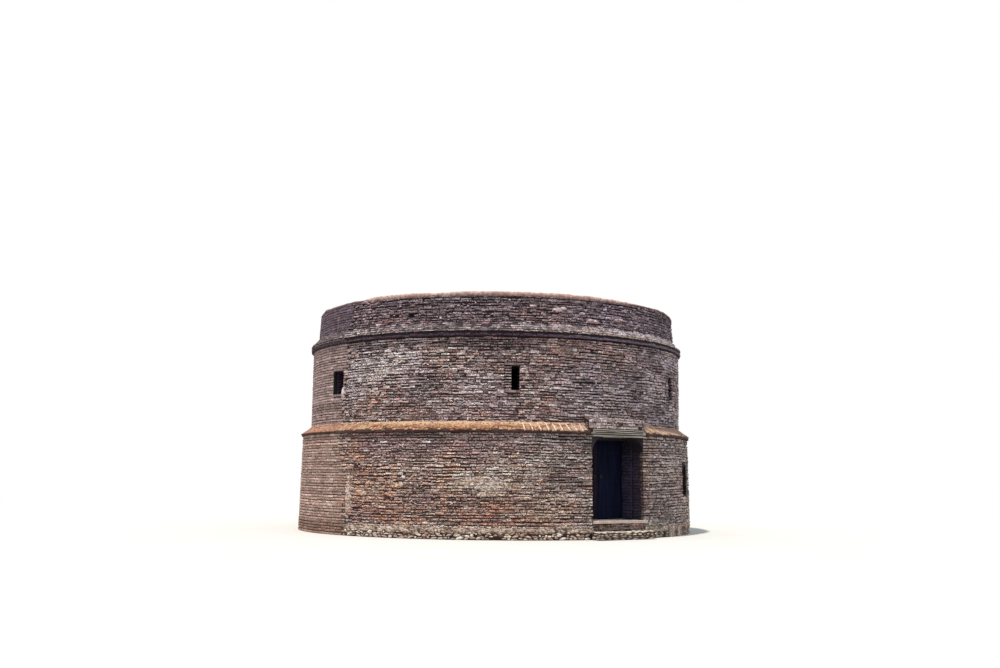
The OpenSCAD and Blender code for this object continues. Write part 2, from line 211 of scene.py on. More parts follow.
sky_strength = 0.95
sky = bpy.data.worlds.new("sky")
sky.use_nodes = True
sky.node_tree.nodes.clear()
bpy.context.scene.world = sky
sky_finish = Finish(sky.node_tree)
seen = sky_finish.add("LightPath", out="Is Camera Ray")
for path in ("Is Glossy Ray", "Is Transmission Ray"):
    seen = seen + sky_finish.add("LightPath", out=path)
fill = sky_finish.add("Background", Color=(0.83, 0.91, 1.0), Strength=sky_strength)
white = sky_finish.add("Background", Color=(1, 1, 1), Strength=1.0)
sky_finish.add("OutputWorld", Surface=sky_finish.either(seen, fill, white))

sun_bearing = math.radians(-80)
sun_height = math.radians(76)
sun = bpy.data.lights.new("sun", "SUN")
sun.energy = 3.6
sun.angle = math.radians(2)
sun.color = (1.0, 0.96, 0.9)
sunlight = stood("sun", sun)
towards_sun = Vector((math.sin(sun_bearing) * math.cos(sun_height),
                      -math.cos(sun_bearing) * math.cos(sun_height), math.sin(sun_height)))
sunlight.rotation_mode = "QUATERNION"
sunlight.rotation_quaternion = towards_sun.to_track_quat("Z", "Y")

# The camera stands at a person's eye height, well out to the doorway's left, and looks a little up.
eye = Vector((-18.297, -26.815, 1.55))
heading = math.radians(34.5)
pitch = math.radians(7.51)
roll = math.radians(0.57)
side = Vector((math.cos(heading), -math.sin(heading), 0))
ahead = Vector((math.cos(pitch) * math.sin(heading), math.cos(pitch) * math.cos(heading), math.sin(pitch)))
upward = side.cross(ahead)
right = math.cos(roll) * side + math.sin(roll) * upward
above = math.cos(roll) * upward - math.sin(roll) * side
camera = bpy.data.cameras.new("camera")
camera.lens = 38.88
camera.sensor_width = 36
camera.clip_end = 1000
viewer = stood("camera", camera)
viewer.matrix_world = Matrix.Translation(eye) @ Matrix((right, above, -ahead)).transposed().to_4x4()
bpy.context.scene.camera = viewer
bpy.context.scene.view_settings.view_transform = "Standard"


# The foundation: rounded river cobbles, set by hand in lime mortar, that stand just clear of the ground
# all round the old work. Under the rebuilt side it is faced with brick instead.

BASE_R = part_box("foundation_right")[1].x
FOUNDATION_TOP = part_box("foundation_right")[1].z
LOWER_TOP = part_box("lower_wall_back")[1].z
ROOM_R = 4.45
BATTER = 0.054


def lower_radius(height):
    """Radius of the battered lower wall's face at a height."""
    return BASE_R - BATTER * height / LOWER_TOP


def spot(bearing, radius, height):
    """A place at a bearing, a distance from the axis and a height."""
    turn = math.radians(bearing)
    return Vector((radius * math.sin(turn), -radius * math.cos(turn), height))


def facing(bearing, radius, height):
    """A place on the round wall with -Y turned outwards."""
    return Matrix.Translation(spot(bearing, radius, height)) @ Matrix.Rotation(math.radians(bearing), 4, "Z")


def bearing_of(place):
    """The bearing of a place, between -180 and 180."""
    return math.degrees(math.atan2(place.x, -place.y))


def between(low, high, share):
    return low + (high - low) * share


def kept_in(value, low, high):
    return max(low, min(high, value))


def apart(first, second):
    """How far the first bearing is past the second, between -180 and 180."""
    return (first - second + 180) % 360 - 180


def jolt(dice, amount):
    """A shift of up to an amount along each axis."""
    return Vector([dice.uniform(-amount, amount) for axis in range(3)])


def noted(piece, name, values):
    """Keeps one number for each point of a piece, under a name."""
    piece.data.attributes.new(name, "FLOAT", "POINT").data.foreach_set("value", values)


class Heap:
    """Many small worn pieces joined in one mesh, each with its own tint. Bricks also keep how far each
    part of them lies behind their face, for the painted shade that darkens their sides within the joints."""

    def __init__(self, name, joint_shade=1.0):
        self.name = name
        self.joint_shade = joint_shade
        self.bm = bmesh.new()
        self.tints = []
        self.counts = []
        self.depths = []
        self.depths_of = {}

    def put(self, shape, matrix, paint):
        copy = shape.copy()
        copy.transform(matrix)
        self.bm.from_mesh(copy)
        bpy.data.meshes.remove(copy)
        self.tints.append((*pigment(*paint), 1.0))
        self.counts.append(len(shape.vertices))
        if shape.name not in self.depths_of:
            self.depths_of[shape.name] = [vert.co.y * self.joint_shade for vert in shape.vertices]
        self.depths += self.depths_of[shape.name]

    def finish(self, *materials, reach=0.0):
        """Ends the heap. With a reach, nothing stands further out than that or under the ground."""
        for vert in self.bm.verts if reach else ():
            vert.co.z = max(vert.co.z, 0.001)
            vert.co.xy *= min(1.0, reach / vert.co.xy.length)
        piece = shown(self.bm, self.name, *materials)
        tint = piece.data.attributes.new("tint", "FLOAT_COLOR", "POINT")
        tint.data.foreach_set("color", np.repeat(self.tints, self.counts, axis=0).ravel())
        noted(piece, "deep", self.depths)
        return piece


def worn(bm, amount, dice):
    """Knocks a small piece's corners about and keeps it as a mesh."""
    for vert in bm.verts:
        vert.co += jolt(dice, amount)
    mesh = bpy.data.meshes.new("worn_piece")
    bm.to_mesh(mesh)
    bm.free()
    return mesh


def cobble(dice):
    """A river cobble of unit size, lumpy and flattened."""
    bm = bmesh.new()
    bmesh.ops.create_icosphere(bm, subdivisions=2, radius=0.5)
    shift = jolt(dice, 50)
    for vert in bm.verts:
        vert.co *= 1 + 0.28 * noise.noise(vert.co * 1.9 + shift)
    return worn(bm, 0.012, dice)


def joint_bearing(height):
    """Where the old brickwork meets the rebuilt side, read from the photograph at eight heights."""
    heights = (0.14, 1.68, 2.56, 2.87, 3.93, 4.86, 5.34, 6.10)
    bearings = (-77.6, -78.3, -81.4, -83.1, -82.6, -80.6, -84.0, -81.2)
    return float(np.interp(height, heights, bearings))


def far_joint(height):
    """Where the rebuilt side meets the old brickwork again, out of sight at the back."""
    return -168 - 1.4 * (joint_bearing(height) + 80) + 1.2 * noise.noise(Vector((0, 0, height * 2)))


def is_rebuilt(bearing, height):
    """True on the side that was rebuilt."""
    return far_joint(height) < bearing < joint_bearing(height)


STEP_HALF = math.degrees(math.asin(0.95 / BASE_R))

stone_material, stone = new_finish("river_cobbles")
stone_tint = stone.kept("tint", "Color")
mottle = stone.ease(stone.grain(34, 5.0), 0.35, 0.7)
grey_stone = stone.blend(mottle * 0.5, stone_tint, (212, 200, 188))
dust = stone.ease(stone.grain(7, 4.0), 0.45, 0.75)
dusty_stone = stone.blend(dust * 0.35, grey_stone, (122, 104, 92))
pits = stone.grain(160, 4.0)
stone.surface(dusty_stone, 0.82 + 0.12 * mottle, pits, 0.004)

mortar_material, mortar = new_finish("lime_mortar")
sunk = mortar.kept("sunk")
speck = mortar.grain(210, 3.0)
lumps = mortar.grain(26, 5.0)
pits = mortar.ease(mortar.grain(17, 6.0, (1.0, 1.0, 1.6)), 0.4, 0.58)
high_share = mortar.ease(mortar.level(), 2.4, 5.4)
low_lime = mortar.blend(pits, (136, 108, 94), (232, 210, 192))
high_lime = mortar.blend(pits, (110, 94, 94), (222, 208, 206))
fresh = mortar.blend(high_share, low_lime, high_lime)
# Mortar eaten back into the joints turns darker with depth, partly as dirt and partly as plum painted shade.
# Up by the moulding and the parapet's foot it darkens further as painted shade, and past 6 cm deep it is near
# black, as painted shade.
dark_bed = mortar.blend(high_share, (42, 20, 18), (15, 6, 12))
dusty_shade_bed = mortar.blend(high_share, (86, 58, 50), (42, 27, 33))
dirt_and_shade = mortar.blend(mortar.grain(5, 5.0), dark_bed, dusty_shade_bed)
depth_share = mortar.ease(sunk + 0.012 * (lumps - 0.5), 0.008, 0.034)
plum_shade_share = mortar.ease(mortar.level(), 5.1, 5.6) * 0.8
dirt_and_shade = mortar.blend(plum_shade_share, dirt_and_shade, (18, 10, 22))
hollow_shade = mortar.turned(sunk, 0.06, 0.09, dirt_and_shade, (24, 18, 24))
lime = mortar.blend(depth_share, fresh, hollow_shade)
mortar.surface(lime, 0.93, lumps * 0.7 + speck * 0.3, 0.012)


def clean_copy(node):
    """A bmesh of a CAD node, with its loose triangles merged into whole faces."""
    bm = bmesh.new()
    bm.from_mesh(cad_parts[node].data)
    bmesh.ops.remove_doubles(bm, verts=bm.verts, dist=1e-5)
    bmesh.ops.dissolve_limit(bm, angle_limit=0.002, verts=bm.verts, edges=bm.edges)
    return bm


def sawn(bm, place, normal, **limits):
    """Cuts a mesh through along a plane, and keeps both sides."""
    everything = bm.verts[:] + bm.edges[:] + bm.faces[:]
    bmesh.ops.bisect_plane(bm, geom=everything, plane_co=place, plane_no=normal, **limits)


def gathered(whole, part):
    """Moves one bmesh's faces into another."""
    mesh = bpy.data.meshes.new("part")
    part.to_mesh(mesh)
    part.free()
    whole.from_mesh(mesh)
    bpy.data.meshes.remove(mesh)


# The depth given to hidden faces and to the sides of openings. It is deep enough that their mortar takes the
# near-black painted shade.
IN_SHADE_DEPTH = 0.09


def mortar_bed(name, nodes, outline, sunk_by, heights, *materials, inner=0.0, openings=()):
    """Copies CAD walls and draws their outer skin in as far as the mortar between the bricks has gone.

    sunk_by(bearing, height) gives that depth, and outline(height) the wall's own radius. The sides of
    `openings`, each (bearing, width, sill, head), are drawn back too. They and the bed's hidden faces are
    marked deep, so that their mortar takes the near-black painted shade."""
    edge_of_skin = 0.006
    whole = bmesh.new()
    depths = []
    for node in nodes:
        bm = clean_copy(node)
        for height in heights:
            sawn(bm, (0, 0, height), (0, 0, 1), dist=1e-5)
        skin = [edge for edge in bm.edges if edge.calc_length() > 0.06
                and all(vert.co.xy.length > outline(vert.co.z) - edge_of_skin for vert in edge.verts)
                and abs(edge.verts[0].co.z - edge.verts[1].co.z) < 0.01]
        bmesh.ops.subdivide_edges(bm, edges=skin, cuts=1, use_grid_fill=True)
        bmesh.ops.triangulate(bm, faces=[face for face in bm.faces if len(face.verts) > 4])
        for vert in bm.verts:
            radius = vert.co.xy.length
            depth = IN_SHADE_DEPTH
            if radius > outline(vert.co.z) - edge_of_skin:
                depth = sunk_by(bearing_of(vert.co), vert.co.z)
                vert.co.xy *= (outline(vert.co.z) - depth) / radius
            elif inner and radius < inner + edge_of_skin:
                depth = 0.012 + 0.012 * noise.noise(vert.co * 3.1)
                vert.co.xy *= (inner + depth) / radius
            for bearing, width, sill, head in openings:
                turn = math.radians(bearing)
                across = vert.co.x * math.cos(turn) + vert.co.y * math.sin(turn)
                if abs(abs(across) - width / 2) < 0.004 and abs(apart(bearing_of(vert.co), bearing)) < 20:
                    back = math.copysign(0.03 if width < 1 else 0.02, across)
                    depth = IN_SHADE_DEPTH
                    vert.co.xy += back * Vector((math.cos(turn), math.sin(turn)))
            depths.append(depth)
        gathered(whole, bm)
    if len(materials) > 1:
        for face in whole.faces:
            place = face.calc_center_median()
            face.material_index = int(place.xy.length < inner + 0.05)
    piece = shown(whole, name, *materials)
    noted(piece, "sunk", depths)
    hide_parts(*nodes)
    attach(piece, "tower")
    return piece


def span_share(bearing, first, last, soft=2.0):
    """1 between two bearings and 0 well outside them."""
    return kept_in((bearing - first) / soft, 0, 1) * kept_in((last - bearing) / soft, 0, 1)


def foundation_sunk(bearing, height):
    """Mortar fills the stones' joints at the top and has gone near the ground. Right of the doorway the
    foot has been plastered over."""
    if is_rebuilt(bearing, height):
        return 0.03
    place = spot(bearing, BASE_R, height)
    gone = kept_in((0.19 - height) / 0.08, 0, 1) * (0.5 if -90 < bearing < -52 else 1.0)
    depth = 0.016 + 0.016 * noise.noise(place * 6.0) + gone * (0.04 + 0.03 * noise.noise(place * 9.0))
    plaster = span_share(bearing, 19, 66)
    return max(0.005, between(depth, 0.022 + 0.014 * noise.noise(place * 5.0), plaster))


foundation_levels = [FOUNDATION_TOP * step / 8 for step in range(1, 8)]
foundation_bed = mortar_bed("foundation_mortar", ["foundation_left", "foundation_right"], lower_radius,
                            foundation_sunk, foundation_levels, mortar_material)


def rubble(dice):
    """A broken stone of unit size, with flat faces and sharp corners."""
    bm = bmesh.new()
    bmesh.ops.create_icosphere(bm, subdivisions=1, radius=0.55)
    return worn(bm, 0.13, dice)


STONES = [(208, 192, 172), (176, 158, 142), (222, 208, 190), (152, 124, 108), (184, 152, 130), (120, 100, 94),
          (196, 170, 146), (240, 230, 214), (160, 112, 90)]
dice = random.Random(11)
cobbles = [cobble(dice) for variant in range(9)]
rocks = cobbles + [rubble(dice) for variant in range(12)]
heap = Heap("foundation_cobbles")
# Each row is its height, its stones' least and greatest thickness and the share of it that stones fill.
STONE_ROWS = ((0.034, 0.05, 0.085, 0.95), (0.1, 0.04, 0.08, 0.9), (0.16, 0.03, 0.06, 0.85),
              (0.212, 0.02, 0.045, 0.7), (0.258, 0.016, 0.034, 0.6))
for row_height, low, high, share in STONE_ROWS:
    bearing = joint_bearing(0.1) + dice.uniform(0, 1)
    while bearing < 360 + far_joint(row_height):
        width = dice.uniform(0.05, 0.2)
        thick = dice.uniform(low, high)
        bearing += math.degrees(width / BASE_R) * 0.52
        plaster = span_share(bearing, 9, 66)
        if abs(bearing) > STEP_HALF + 0.2 and dice.random() < share * (1 - 0.93 * plaster):
            level = max(thick * 0.45, row_height + dice.uniform(-0.018, 0.018))
            place = facing(bearing, lower_radius(level) - dice.uniform(0.03, 0.05), level)
            turn = Matrix.Rotation(dice.uniform(-0.3, 0.3), 4, "Y")
            size = Matrix.Diagonal((width, 0.085, thick, 1))
            heap.put(dice.choice(rocks), place @ turn @ size, dice.choice(STONES))
        bearing += math.degrees(width / BASE_R) * 0.52
# Right of the steps the foot is patched with rough grey-green rubble, one stone of it gone.
PATCH_STONES = [(150, 148, 128), (118, 112, 100), (172, 166, 148), (96, 84, 78), (138, 126, 112)]
for row_height in (0.045, 0.115, 0.19, 0.27, 0.35, 0.42):
    bearing = STEP_HALF + 0.6 + dice.uniform(0, 0.5)
    while bearing < 20.5:
        width = dice.uniform(0.09, 0.2)
        turn_wide = math.degrees(width / BASE_R)
        bearing += turn_wide * 0.5
        if not (row_height < 0.14 and 17.0 < bearing < 18.6):
            place = facing(bearing, lower_radius(row_height) - dice.uniform(0.03, 0.045), row_height)
            turn = Matrix.Rotation(dice.uniform(-0.6, 0.6), 4, "Y")
            size = Matrix.Diagonal((width * 0.9, 0.09, dice.uniform(0.045, 0.09), 1))
            heap.put(dice.choice(rocks), place @ turn @ size, dice.choice(PATCH_STONES))
        bearing += turn_wide * 0.5
foundation_stones = heap.finish(stone_material, reach=BASE_R + 0.003)
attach(foundation_stones, "tower")


# The lower wall: thin hand-made bricks of mixed clays, laid in lime mortar that rain and salt have eaten
# back. The side to the doorway's left was rebuilt in even courses and meets the old work in teeth.

def block(size, middle):
    """A bmesh of a box."""
    bm = bmesh.new()
    bmesh.ops.create_cube(bm, size=1.0)
    bmesh.ops.scale(bm, vec=size, verts=bm.verts)
    bmesh.ops.translate(bm, vec=middle, verts=bm.verts)
    return bm


def rubbed(bm, edges, wear):
    """Rubs a mesh's edges down."""
    bmesh.ops.bevel(bm, geom=edges, offset=wear, offset_type="OFFSET", segments=1, profile=0.5,
                    affect="EDGES", material=-1)


def worn_brick(length, depth, height, cut, broken, dice):
    """A brick with its face at y = 0, its middle at x = 0 and its bed at z = 0, its front edges worn and
    a few of its front corners broken off."""
    bm = block((length, depth, height), (0, depth / 2, height / 2))
    if cut:
        sawn(bm, (length * cut, 0, 0), (1, 0, 0))
    rim = [edge for edge in bm.edges if sum(face.normal.y < -0.5 for face in edge.link_faces) == 1]
    rubbed(bm, rim, dice.uniform(0.007, 0.014))
    face = [vert for vert in bm.verts if vert.co.y < 1e-4]
    for vert in dice.sample(face, broken):
        vert.co.x *= 1 - min(0.3, dice.uniform(0.01, 0.035) / length)
        vert.co.y += dice.uniform(0.004, 0.02)
        vert.co.z += (height / 2 - vert.co.z) * dice.uniform(0.1, 0.6)
    return worn(bm, 0.0045, dice)


class Stock:
    """A stack of bricks in a few lengths, each in several worn shapes."""

    def __init__(self, lengths, depth, height, dice, variants=9, broken=2):
        self.height = height
        self.shapes = {}
        for length in lengths:
            long = length > 0.15
            self.shapes[length] = [
                worn_brick(length, depth, height, dice.uniform(-0.3, 0.3) if long else 0, broken, dice)
                for variant in range(variants)]

    def take(self, length, dice):
        """The stock brick nearest to a length, and the stretch that makes it that long."""
        nearest = min(self.shapes, key=lambda size: abs(size - length))
        return dice.choice(self.shapes[nearest]), length / nearest


def cut_to_fit(total, lengths, weights, dice):
    """Brick lengths, with their joint, that fill a run exactly."""
    sizes = []
    left = total
    shortest = min(lengths)
    while left > shortest * 1.7:
        size = dice.choices(lengths, weights)[0]
        if size > left - shortest * 0.7:
            break
        sizes.append(size)
        left -= size
    sizes.append(left)
    spread = 1.0
    if sizes[-1] > max(lengths) * 1.1 and len(sizes) > 1:
        spread = total / sum(sizes)
    return [size * spread for size in sizes]


def crumbled(openings):
    """Openings as the bricks leave them: the wider windows and the slits have lost a little of their
    edges."""
    return openings + [(bearing, width + 0.08, sill + 0.07, head - 0.07)
                       for bearing, width, sill, head in openings if 0.45 < width < 1]


def free_spans(start, end, openings, low, high, radius):
    """The parts of a course between two bearings that no opening cuts. An opening is
    (bearing, width, sill, head)."""
    gaps = []
    for bearing, width, sill, head in openings:
        if low < head - 0.01 and high > sill + 0.01:
            half = math.degrees(math.asin(width / 2 / radius))
            for turn in (-360, 0, 360):
                gaps.append((bearing - half + turn, bearing + half + turn))
    spans = []
    here = start
    for first, last in sorted(gaps):
        if last > here and first < end:
            if first > here:
                spans.append((here, first))
            here = last
    if here < end:
        spans.append((here, end))
    return spans


def lay_course(heap, stock, place, length, course, look, mix, joint, dice, rough=1.0):
    """Lays one course along a run. place(at) gives the matrix of a spot along it, and look(at, matrix)
    the brick's colour and how far it stands back, or no colour where the brick is gone."""
    at = 0.0
    for size in cut_to_fit(length, *mix, dice):
        middle = at + size / 2
        at += size
        matrix = place(middle)
        paint, back, squat = look(middle, matrix)
        if paint is None:
            continue
        shape, stretch = stock.take(size - joint * 0.5, dice)
        tilt = Matrix.Rotation(dice.gauss(0, 0.03) * rough, 4, "Z") @ Matrix.Rotation(
            dice.gauss(0, 0.02) * rough, 4, "Y")
        lean = Matrix.Rotation(-dice.gauss(0.05, 0.08) * rough, 4, "X")
        tall = (course - joint) * squat * (1 + dice.gauss(0, 0.12) * rough) / stock.height
        scale = Matrix.Diagonal((stretch, 1, tall, 1))
        lift = dice.gauss(0, 0.003) * rough
        heap.put(shape, matrix @ Matrix.Translation((0, back, lift)) @ tilt @ lean @ scale, paint)


def along_ring(first, radius, height):
    """Says where a spot along a level ring of bricks lies, from a first bearing on."""
    return lambda at: facing(first + math.degrees(at / radius), radius, height)


def uneven_beds(low, high, courses, spread, dice):
    """The heights of the beds between two heights, in courses that differ by up to a share `spread`."""
    sizes = [dice.uniform(1 - spread, 1 + spread) for step in range(courses)]
    beds = [low]
    for size in sizes:
        beds.append(beds[-1] + (high - low) * size / sum(sizes))
    return beds


def mixed_paint(first, second, share):
    """A colour between two chart colours."""
    return tuple(between(a, b, share) for a, b in zip(first, second))


def lit(paint, light):
    """A chart colour in more or less light."""
    return tuple(kept_in(value * light, 20, 245) for value in paint)


def swell(place, wide, tall, lift=0):
    """Noise with `wide` lumps to the metre along the courses and `tall` up them."""
    return noise.noise(Vector((place.x * wide, place.y * wide, place.z * tall + lift)))


MEAN_R = 5.6
CLAYS = {
    "plum": (106, 77, 88), "umber": (136, 100, 82), "clay": (172, 125, 96), "fawn": (206, 178, 150),
    "rust": (166, 96, 62), "ash": (174, 163, 163), "lichen": (160, 152, 134), "lime": (236, 226, 214),
    "soot": (54, 36, 38), "sand": (216, 180, 148)}
WARM_TONES = ((98, 50, 34), (168, 115, 84), (228, 190, 160))
COOL_TONES = ((70, 50, 58), (140, 122, 124), (212, 200, 200))


class Weather:
    """How a stretch of old brickwork has aged: the clays in it, the tones that it drifts between along its
    courses, and the patches listed one by one.

    warmth(bearing, height) runs from 0 for cool tones to 1 for warm ones; on the walls the warm tones lie
    on the sunlit left and the cool ones on the shaded right, partly the bricks' own colour and partly
    painted sunlight and shade. A patch is (bearing, height, half width in degrees, half height, clay,
    strength). `burnt` and `limed` are the shares of bricks that are nearly black and nearly white, `eaten`
    the share that salt has eaten well back, and `shade_blue` how much bluer the coolest bricks are, as
    painted blue of sky-lit shade."""

    def __init__(self, mix, warmth, patches, seed, light=1.0, burnt=0.1, limed=0.06, eaten=0.06, shade_blue=0.1):
        self.mix = mix
        self.warmth = warmth
        self.patches = patches
        self.shift = Vector((seed, 0, 0))
        self.light = light
        self.burnt = burnt
        self.limed = limed
        self.eaten = eaten
        self.shade_blue = shade_blue

    def paint(self, bearing, height, dice):
        place = spot(bearing, MEAN_R, height) + self.shift
        paint = CLAYS[dice.choices(list(self.mix), list(self.mix.values()))[0]]
        run = swell(place, 1.3, 12) * 1.6
        warm = kept_in(self.warmth(bearing, height) + 0.5 * noise.noise(place * 0.9), 0, 1)
        dark, mid, pale = (mixed_paint(cool, hot, warm) for cool, hot in zip(COOL_TONES, WARM_TONES))
        streak = mixed_paint(mid, pale if run > 0 else dark, min(1, abs(run)))
        paint = mixed_paint(paint, streak, 0.6)
        drift = swell(place, 0.6, 1.5, 9)
        paint = mixed_paint(paint, CLAYS["fawn" if drift > 0 else "plum"], min(0.5, abs(drift) * 1.2))
        for at, level, half, tall, clay, strength in self.patches:
            away = apart(bearing, at) / half
            reach = math.hypot(away, (height - level) / tall) + 0.5 * noise.noise(place * 2.5)
            share = kept_in(1.6 - 1.2 * reach, 0, 1) * strength * dice.uniform(0.35, 1.15)
            paint = mixed_paint(paint, CLAYS[clay], kept_in(share, 0, 1))
        chance = dice.random()
        if chance < self.burnt:
            paint = mixed_paint(paint, CLAYS["soot"], 0.65)
        elif chance > 1 - self.limed:
            paint = mixed_paint(paint, CLAYS["lime"], 0.6)
        light = self.light * dice.gauss(1.0, 0.16) * (1 + 0.3 * noise.noise(place * 0.8 + Vector((0, 0, 70))))
        light *= 1 + 0.22 * noise.noise(place * 2.3 + Vector((0, 0, 30)))
        grey = sum(paint) / 3
        # Warm bricks are made richer, cool ones greyer and bluer: partly their own tones, partly painted
        # sunlight and sky-lit shade.
        rich = between(0.34, 1.24, warm) * dice.uniform(0.82, 1.2) * kept_in(1.5 - grey / 220, 0.5, 1.4)
        cool = self.shade_blue * (1 - warm)
        shaded = [grey + (value - grey) * rich for value in paint]
        return (kept_in(shaded[0] * light, 20, 245), kept_in(shaded[1] * light * (1 - 0.25 * cool), 16, 240),
                kept_in(shaded[2] * light * (1 + cool), 16, 240))


# Where old mortar has been smeared over the bricks: (bearing, height, half width in degrees, half height).
SMEARS = [(-38, 1.35, 7.0, 0.2), (-44, 0.31, 30, 0.03), (-61, 4.5, 2.0, 0.08), (-8.2, 0.4, 1.3, 0.55),
          (-68, 4.2, 2.0, 0.08), (-76.0, 1.0, 1.4, 0.6), (60, 1.3, 5, 0.12),
          (120, 4.2, 5, 0.16), (126, 4.05, 3, 0.1), (170, 1.9, 6, 0.14)]

# Sockets left by scaffold poles, each (bearing, height, half width in degrees, half height).
POLE_HOLES = [(-58.6, 5.65, 0.9, 0.045), (-64.5, 5.72, 1.3, 0.035), (150, 5.65, 0.9, 0.045),
              (52, 1.9, 0.9, 0.045), (-140, 4.6, 0.8, 0.045)]


def pole_hole(bearing, height):
    """True where a brick was left out for a scaffold pole."""
    return any(abs(bearing - at) < half and abs(height - level) < tall
               for at, level, half, tall in POLE_HOLES)


def smeared(bearing, height):
    """1 where mortar lies over the bricks, 0 where the joints are open."""
    place = spot(bearing, MEAN_R, height)
    most = 0.0
    for at, level, half, tall in SMEARS:
        away = apart(bearing, at) / half
        reach = math.hypot(away, (height - level) / tall) + 0.5 * noise.noise(place * 3.7)
        most = max(most, kept_in(1.7 - 1.4 * reach, 0, 1))
    return most


def old_joint(bearing, height):
    """How far the old mortar lies behind the bricks' faces: flush in places, eaten back in others."""
    # A pole hole's mortar lies deep and takes the near-black painted shade.
    if pole_hole(bearing, height):
        return 0.1
    place = spot(bearing, MEAN_R, height)
    depth = 0.034 + 0.026 * swell(place, 0.9, 9) + 0.016 * swell(place, 5, 14)
    depth += 0.018 * span_share(bearing, -26, 10, 8.0)
    depth -= 0.016 * kept_in(1.5 - math.hypot((bearing + 66) / 12, (height - 4.4) / 0.5), 0, 1)
    depth = between(depth, 0.002 + 0.016 * noise.noise(place * 12.0), smeared(bearing, height))
    return kept_in(depth, -0.002, 0.066)


def bulge(place):
    """How far old work has sunk back from a true round: a slow swell and a shorter one."""
    return 0.011 + 0.010 * noise.noise(place * 0.55) + 0.006 * noise.noise(place * 1.9)


def skin_depth(bearing, height):
    """How far the mortar between the bricks lies behind the wall's true face."""
    place = spot(bearing, MEAN_R, height)
    if is_rebuilt(bearing, height):
        return 0.027 + 0.012 * swell(place, 2, 9)
    return max(0.004, bulge(place) + old_joint(bearing, height))


brick_material, brick = new_finish("old_brick")
bare = brick.kept("tint", "Color")
deep = brick.kept("deep")
# Brick sides that lie behind the face darken with their depth: painted shade in the joints.
tint = brick.turned(deep, 0.014, 0.055, bare, (27, 15, 21), 0.95)
fine = brick.grain(120, 4.0)
chips = brick.grain(30, 6.0, (1.0, 1.0, 1.5))
cloud = brick.grain(3.1, 5.0)
upward_share = brick.facing_up()
worn_dark = brick.blend(1.0, tint, (160, 132, 126), "MULTIPLY")
bleached = brick.blend(0.7, tint, (234, 229, 224), "OVERLAY")
worn_pale = brick.blend(0.24, bleached, (240, 229, 222))
chipped = brick.turned(chips + 0.25 * (fine - 0.5), 0.4, 0.6, worn_dark, worn_pale)
chalk = brick.ease(cloud, 0.5, 0.75) * brick.ease(fine, 0.35, 0.7) * 0.45
chalky = brick.blend(chalk, chipped, (204, 191, 186))
# Faces looking up are paler, as dust and as painted top light; faces looking down are darkened as painted
# shade.
dust_and_top_light = brick.turned(upward_share, 0.25, 0.85, chalky, (214, 202, 196), 0.34)
under_shade = brick.turned(0 - upward_share, 0.3, 0.9, dust_and_top_light, (52, 36, 36), 0.6)
aloft = brick.ease(brick.level(), 5.2, 5.5)
plum_light = brick.blend(aloft, under_shade, (250, 239, 253), "MULTIPLY")
brick.surface(plum_light, 0.86 + 0.1 * fine, fine * 0.35 + chips * 0.65, 0.010)

# A copy of the brick finish for sides and faces in shade: darkened and blued as painted shade, and darker
# still between about 1.5 and 3 m up as the painted shade under the doorway's head.
shaded_material, shaded_brick = new_finish("painted_shade_brick")
tint = shaded_brick.kept("tint", "Color")
fine = shaded_brick.grain(120, 4.0)
chips = shaded_brick.grain(30, 6.0, (1.0, 1.0, 1.5))
dark = shaded_brick.blend(1.0, tint, (176, 160, 172), "MULTIPLY")
chipped = shaded_brick.turned(chips, 0.35, 0.65, dark, tint)
sky_shade_blue = shaded_brick.blend(1.0, chipped, (190, 184, 240), "MULTIPLY")
height = shaded_brick.level()
lintel_shade_share = shaded_brick.ease(height, 1.5, 2.5) * (1 - shaded_brick.ease(height, 2.7, 3.2)) * 0.6
lintel_shade = shaded_brick.blend(lintel_shade_share, sky_shade_blue, (16, 14, 24))
shaded_brick.surface(lintel_shade, 0.9, fine * 0.35 + chips * 0.65, 0.010)

rebuilt_material, rebuilt = new_finish("rebuilt_brick")
bare = rebuilt.kept("tint", "Color")
deep = rebuilt.kept("deep")
# Brick sides that lie behind the face darken with their depth: painted shade in the joints.
tint = rebuilt.turned(deep, 0.012, 0.045, bare, (44, 28, 30), 0.9)
fine = rebuilt.grain(140, 4.0)
coarse = rebuilt.grain(24, 5.0, (1.0, 1.0, 1.6))
streak = rebuilt.grain(6, 4.0, (1.0, 1.0, 0.1))
worn_dark = rebuilt.blend(1.0, tint, (196, 176, 170), "MULTIPLY")
shaded = rebuilt.turned(coarse + 0.2 * (fine - 0.5), 0.36, 0.6, worn_dark, tint)
limed = rebuilt.blend(rebuilt.ease(streak, 0.5, 0.75) * rebuilt.ease(fine, 0.3, 0.65) * 0.35, shaded,
                      (214, 198, 184))
rebuilt.surface(limed, 0.88 + 0.08 * fine, fine * 0.5 + coarse * 0.5, 0.006)

room_material, room = new_finish("room_brick")
room_lumps = room.grain(18, 5.0)
split = room.add("SeparateXYZ", Vector=room.add("TexCoord", out="Object"))
east, north, level = (Wire(share) for share in split.socket.node.outputs)
around = east.maths("ARCTAN2", east, north) * ROOM_R
unrolled = room.add("CombineXYZ", X=around, Y=level)
laid = room.add("TexBrick", {"offset": 0.5}, out="Color", Vector=unrolled, Scale=1.0,
                Color1=pigment(112, 92, 86), Color2=pigment(146, 120, 106), Mortar=pigment(150, 138, 126),
                Mortar_Size=0.012, Brick_Width=0.24, Row_Height=0.0725)
joints = Wire(laid.socket.node.outputs["Fac"])
aged = room.turned(room_lumps, 0.35, 0.75, laid, (84, 74, 72), 0.6)
room.surface(aged, 0.92, (1 - joints) * 0.7 + room_lumps * 0.6, 0.012)

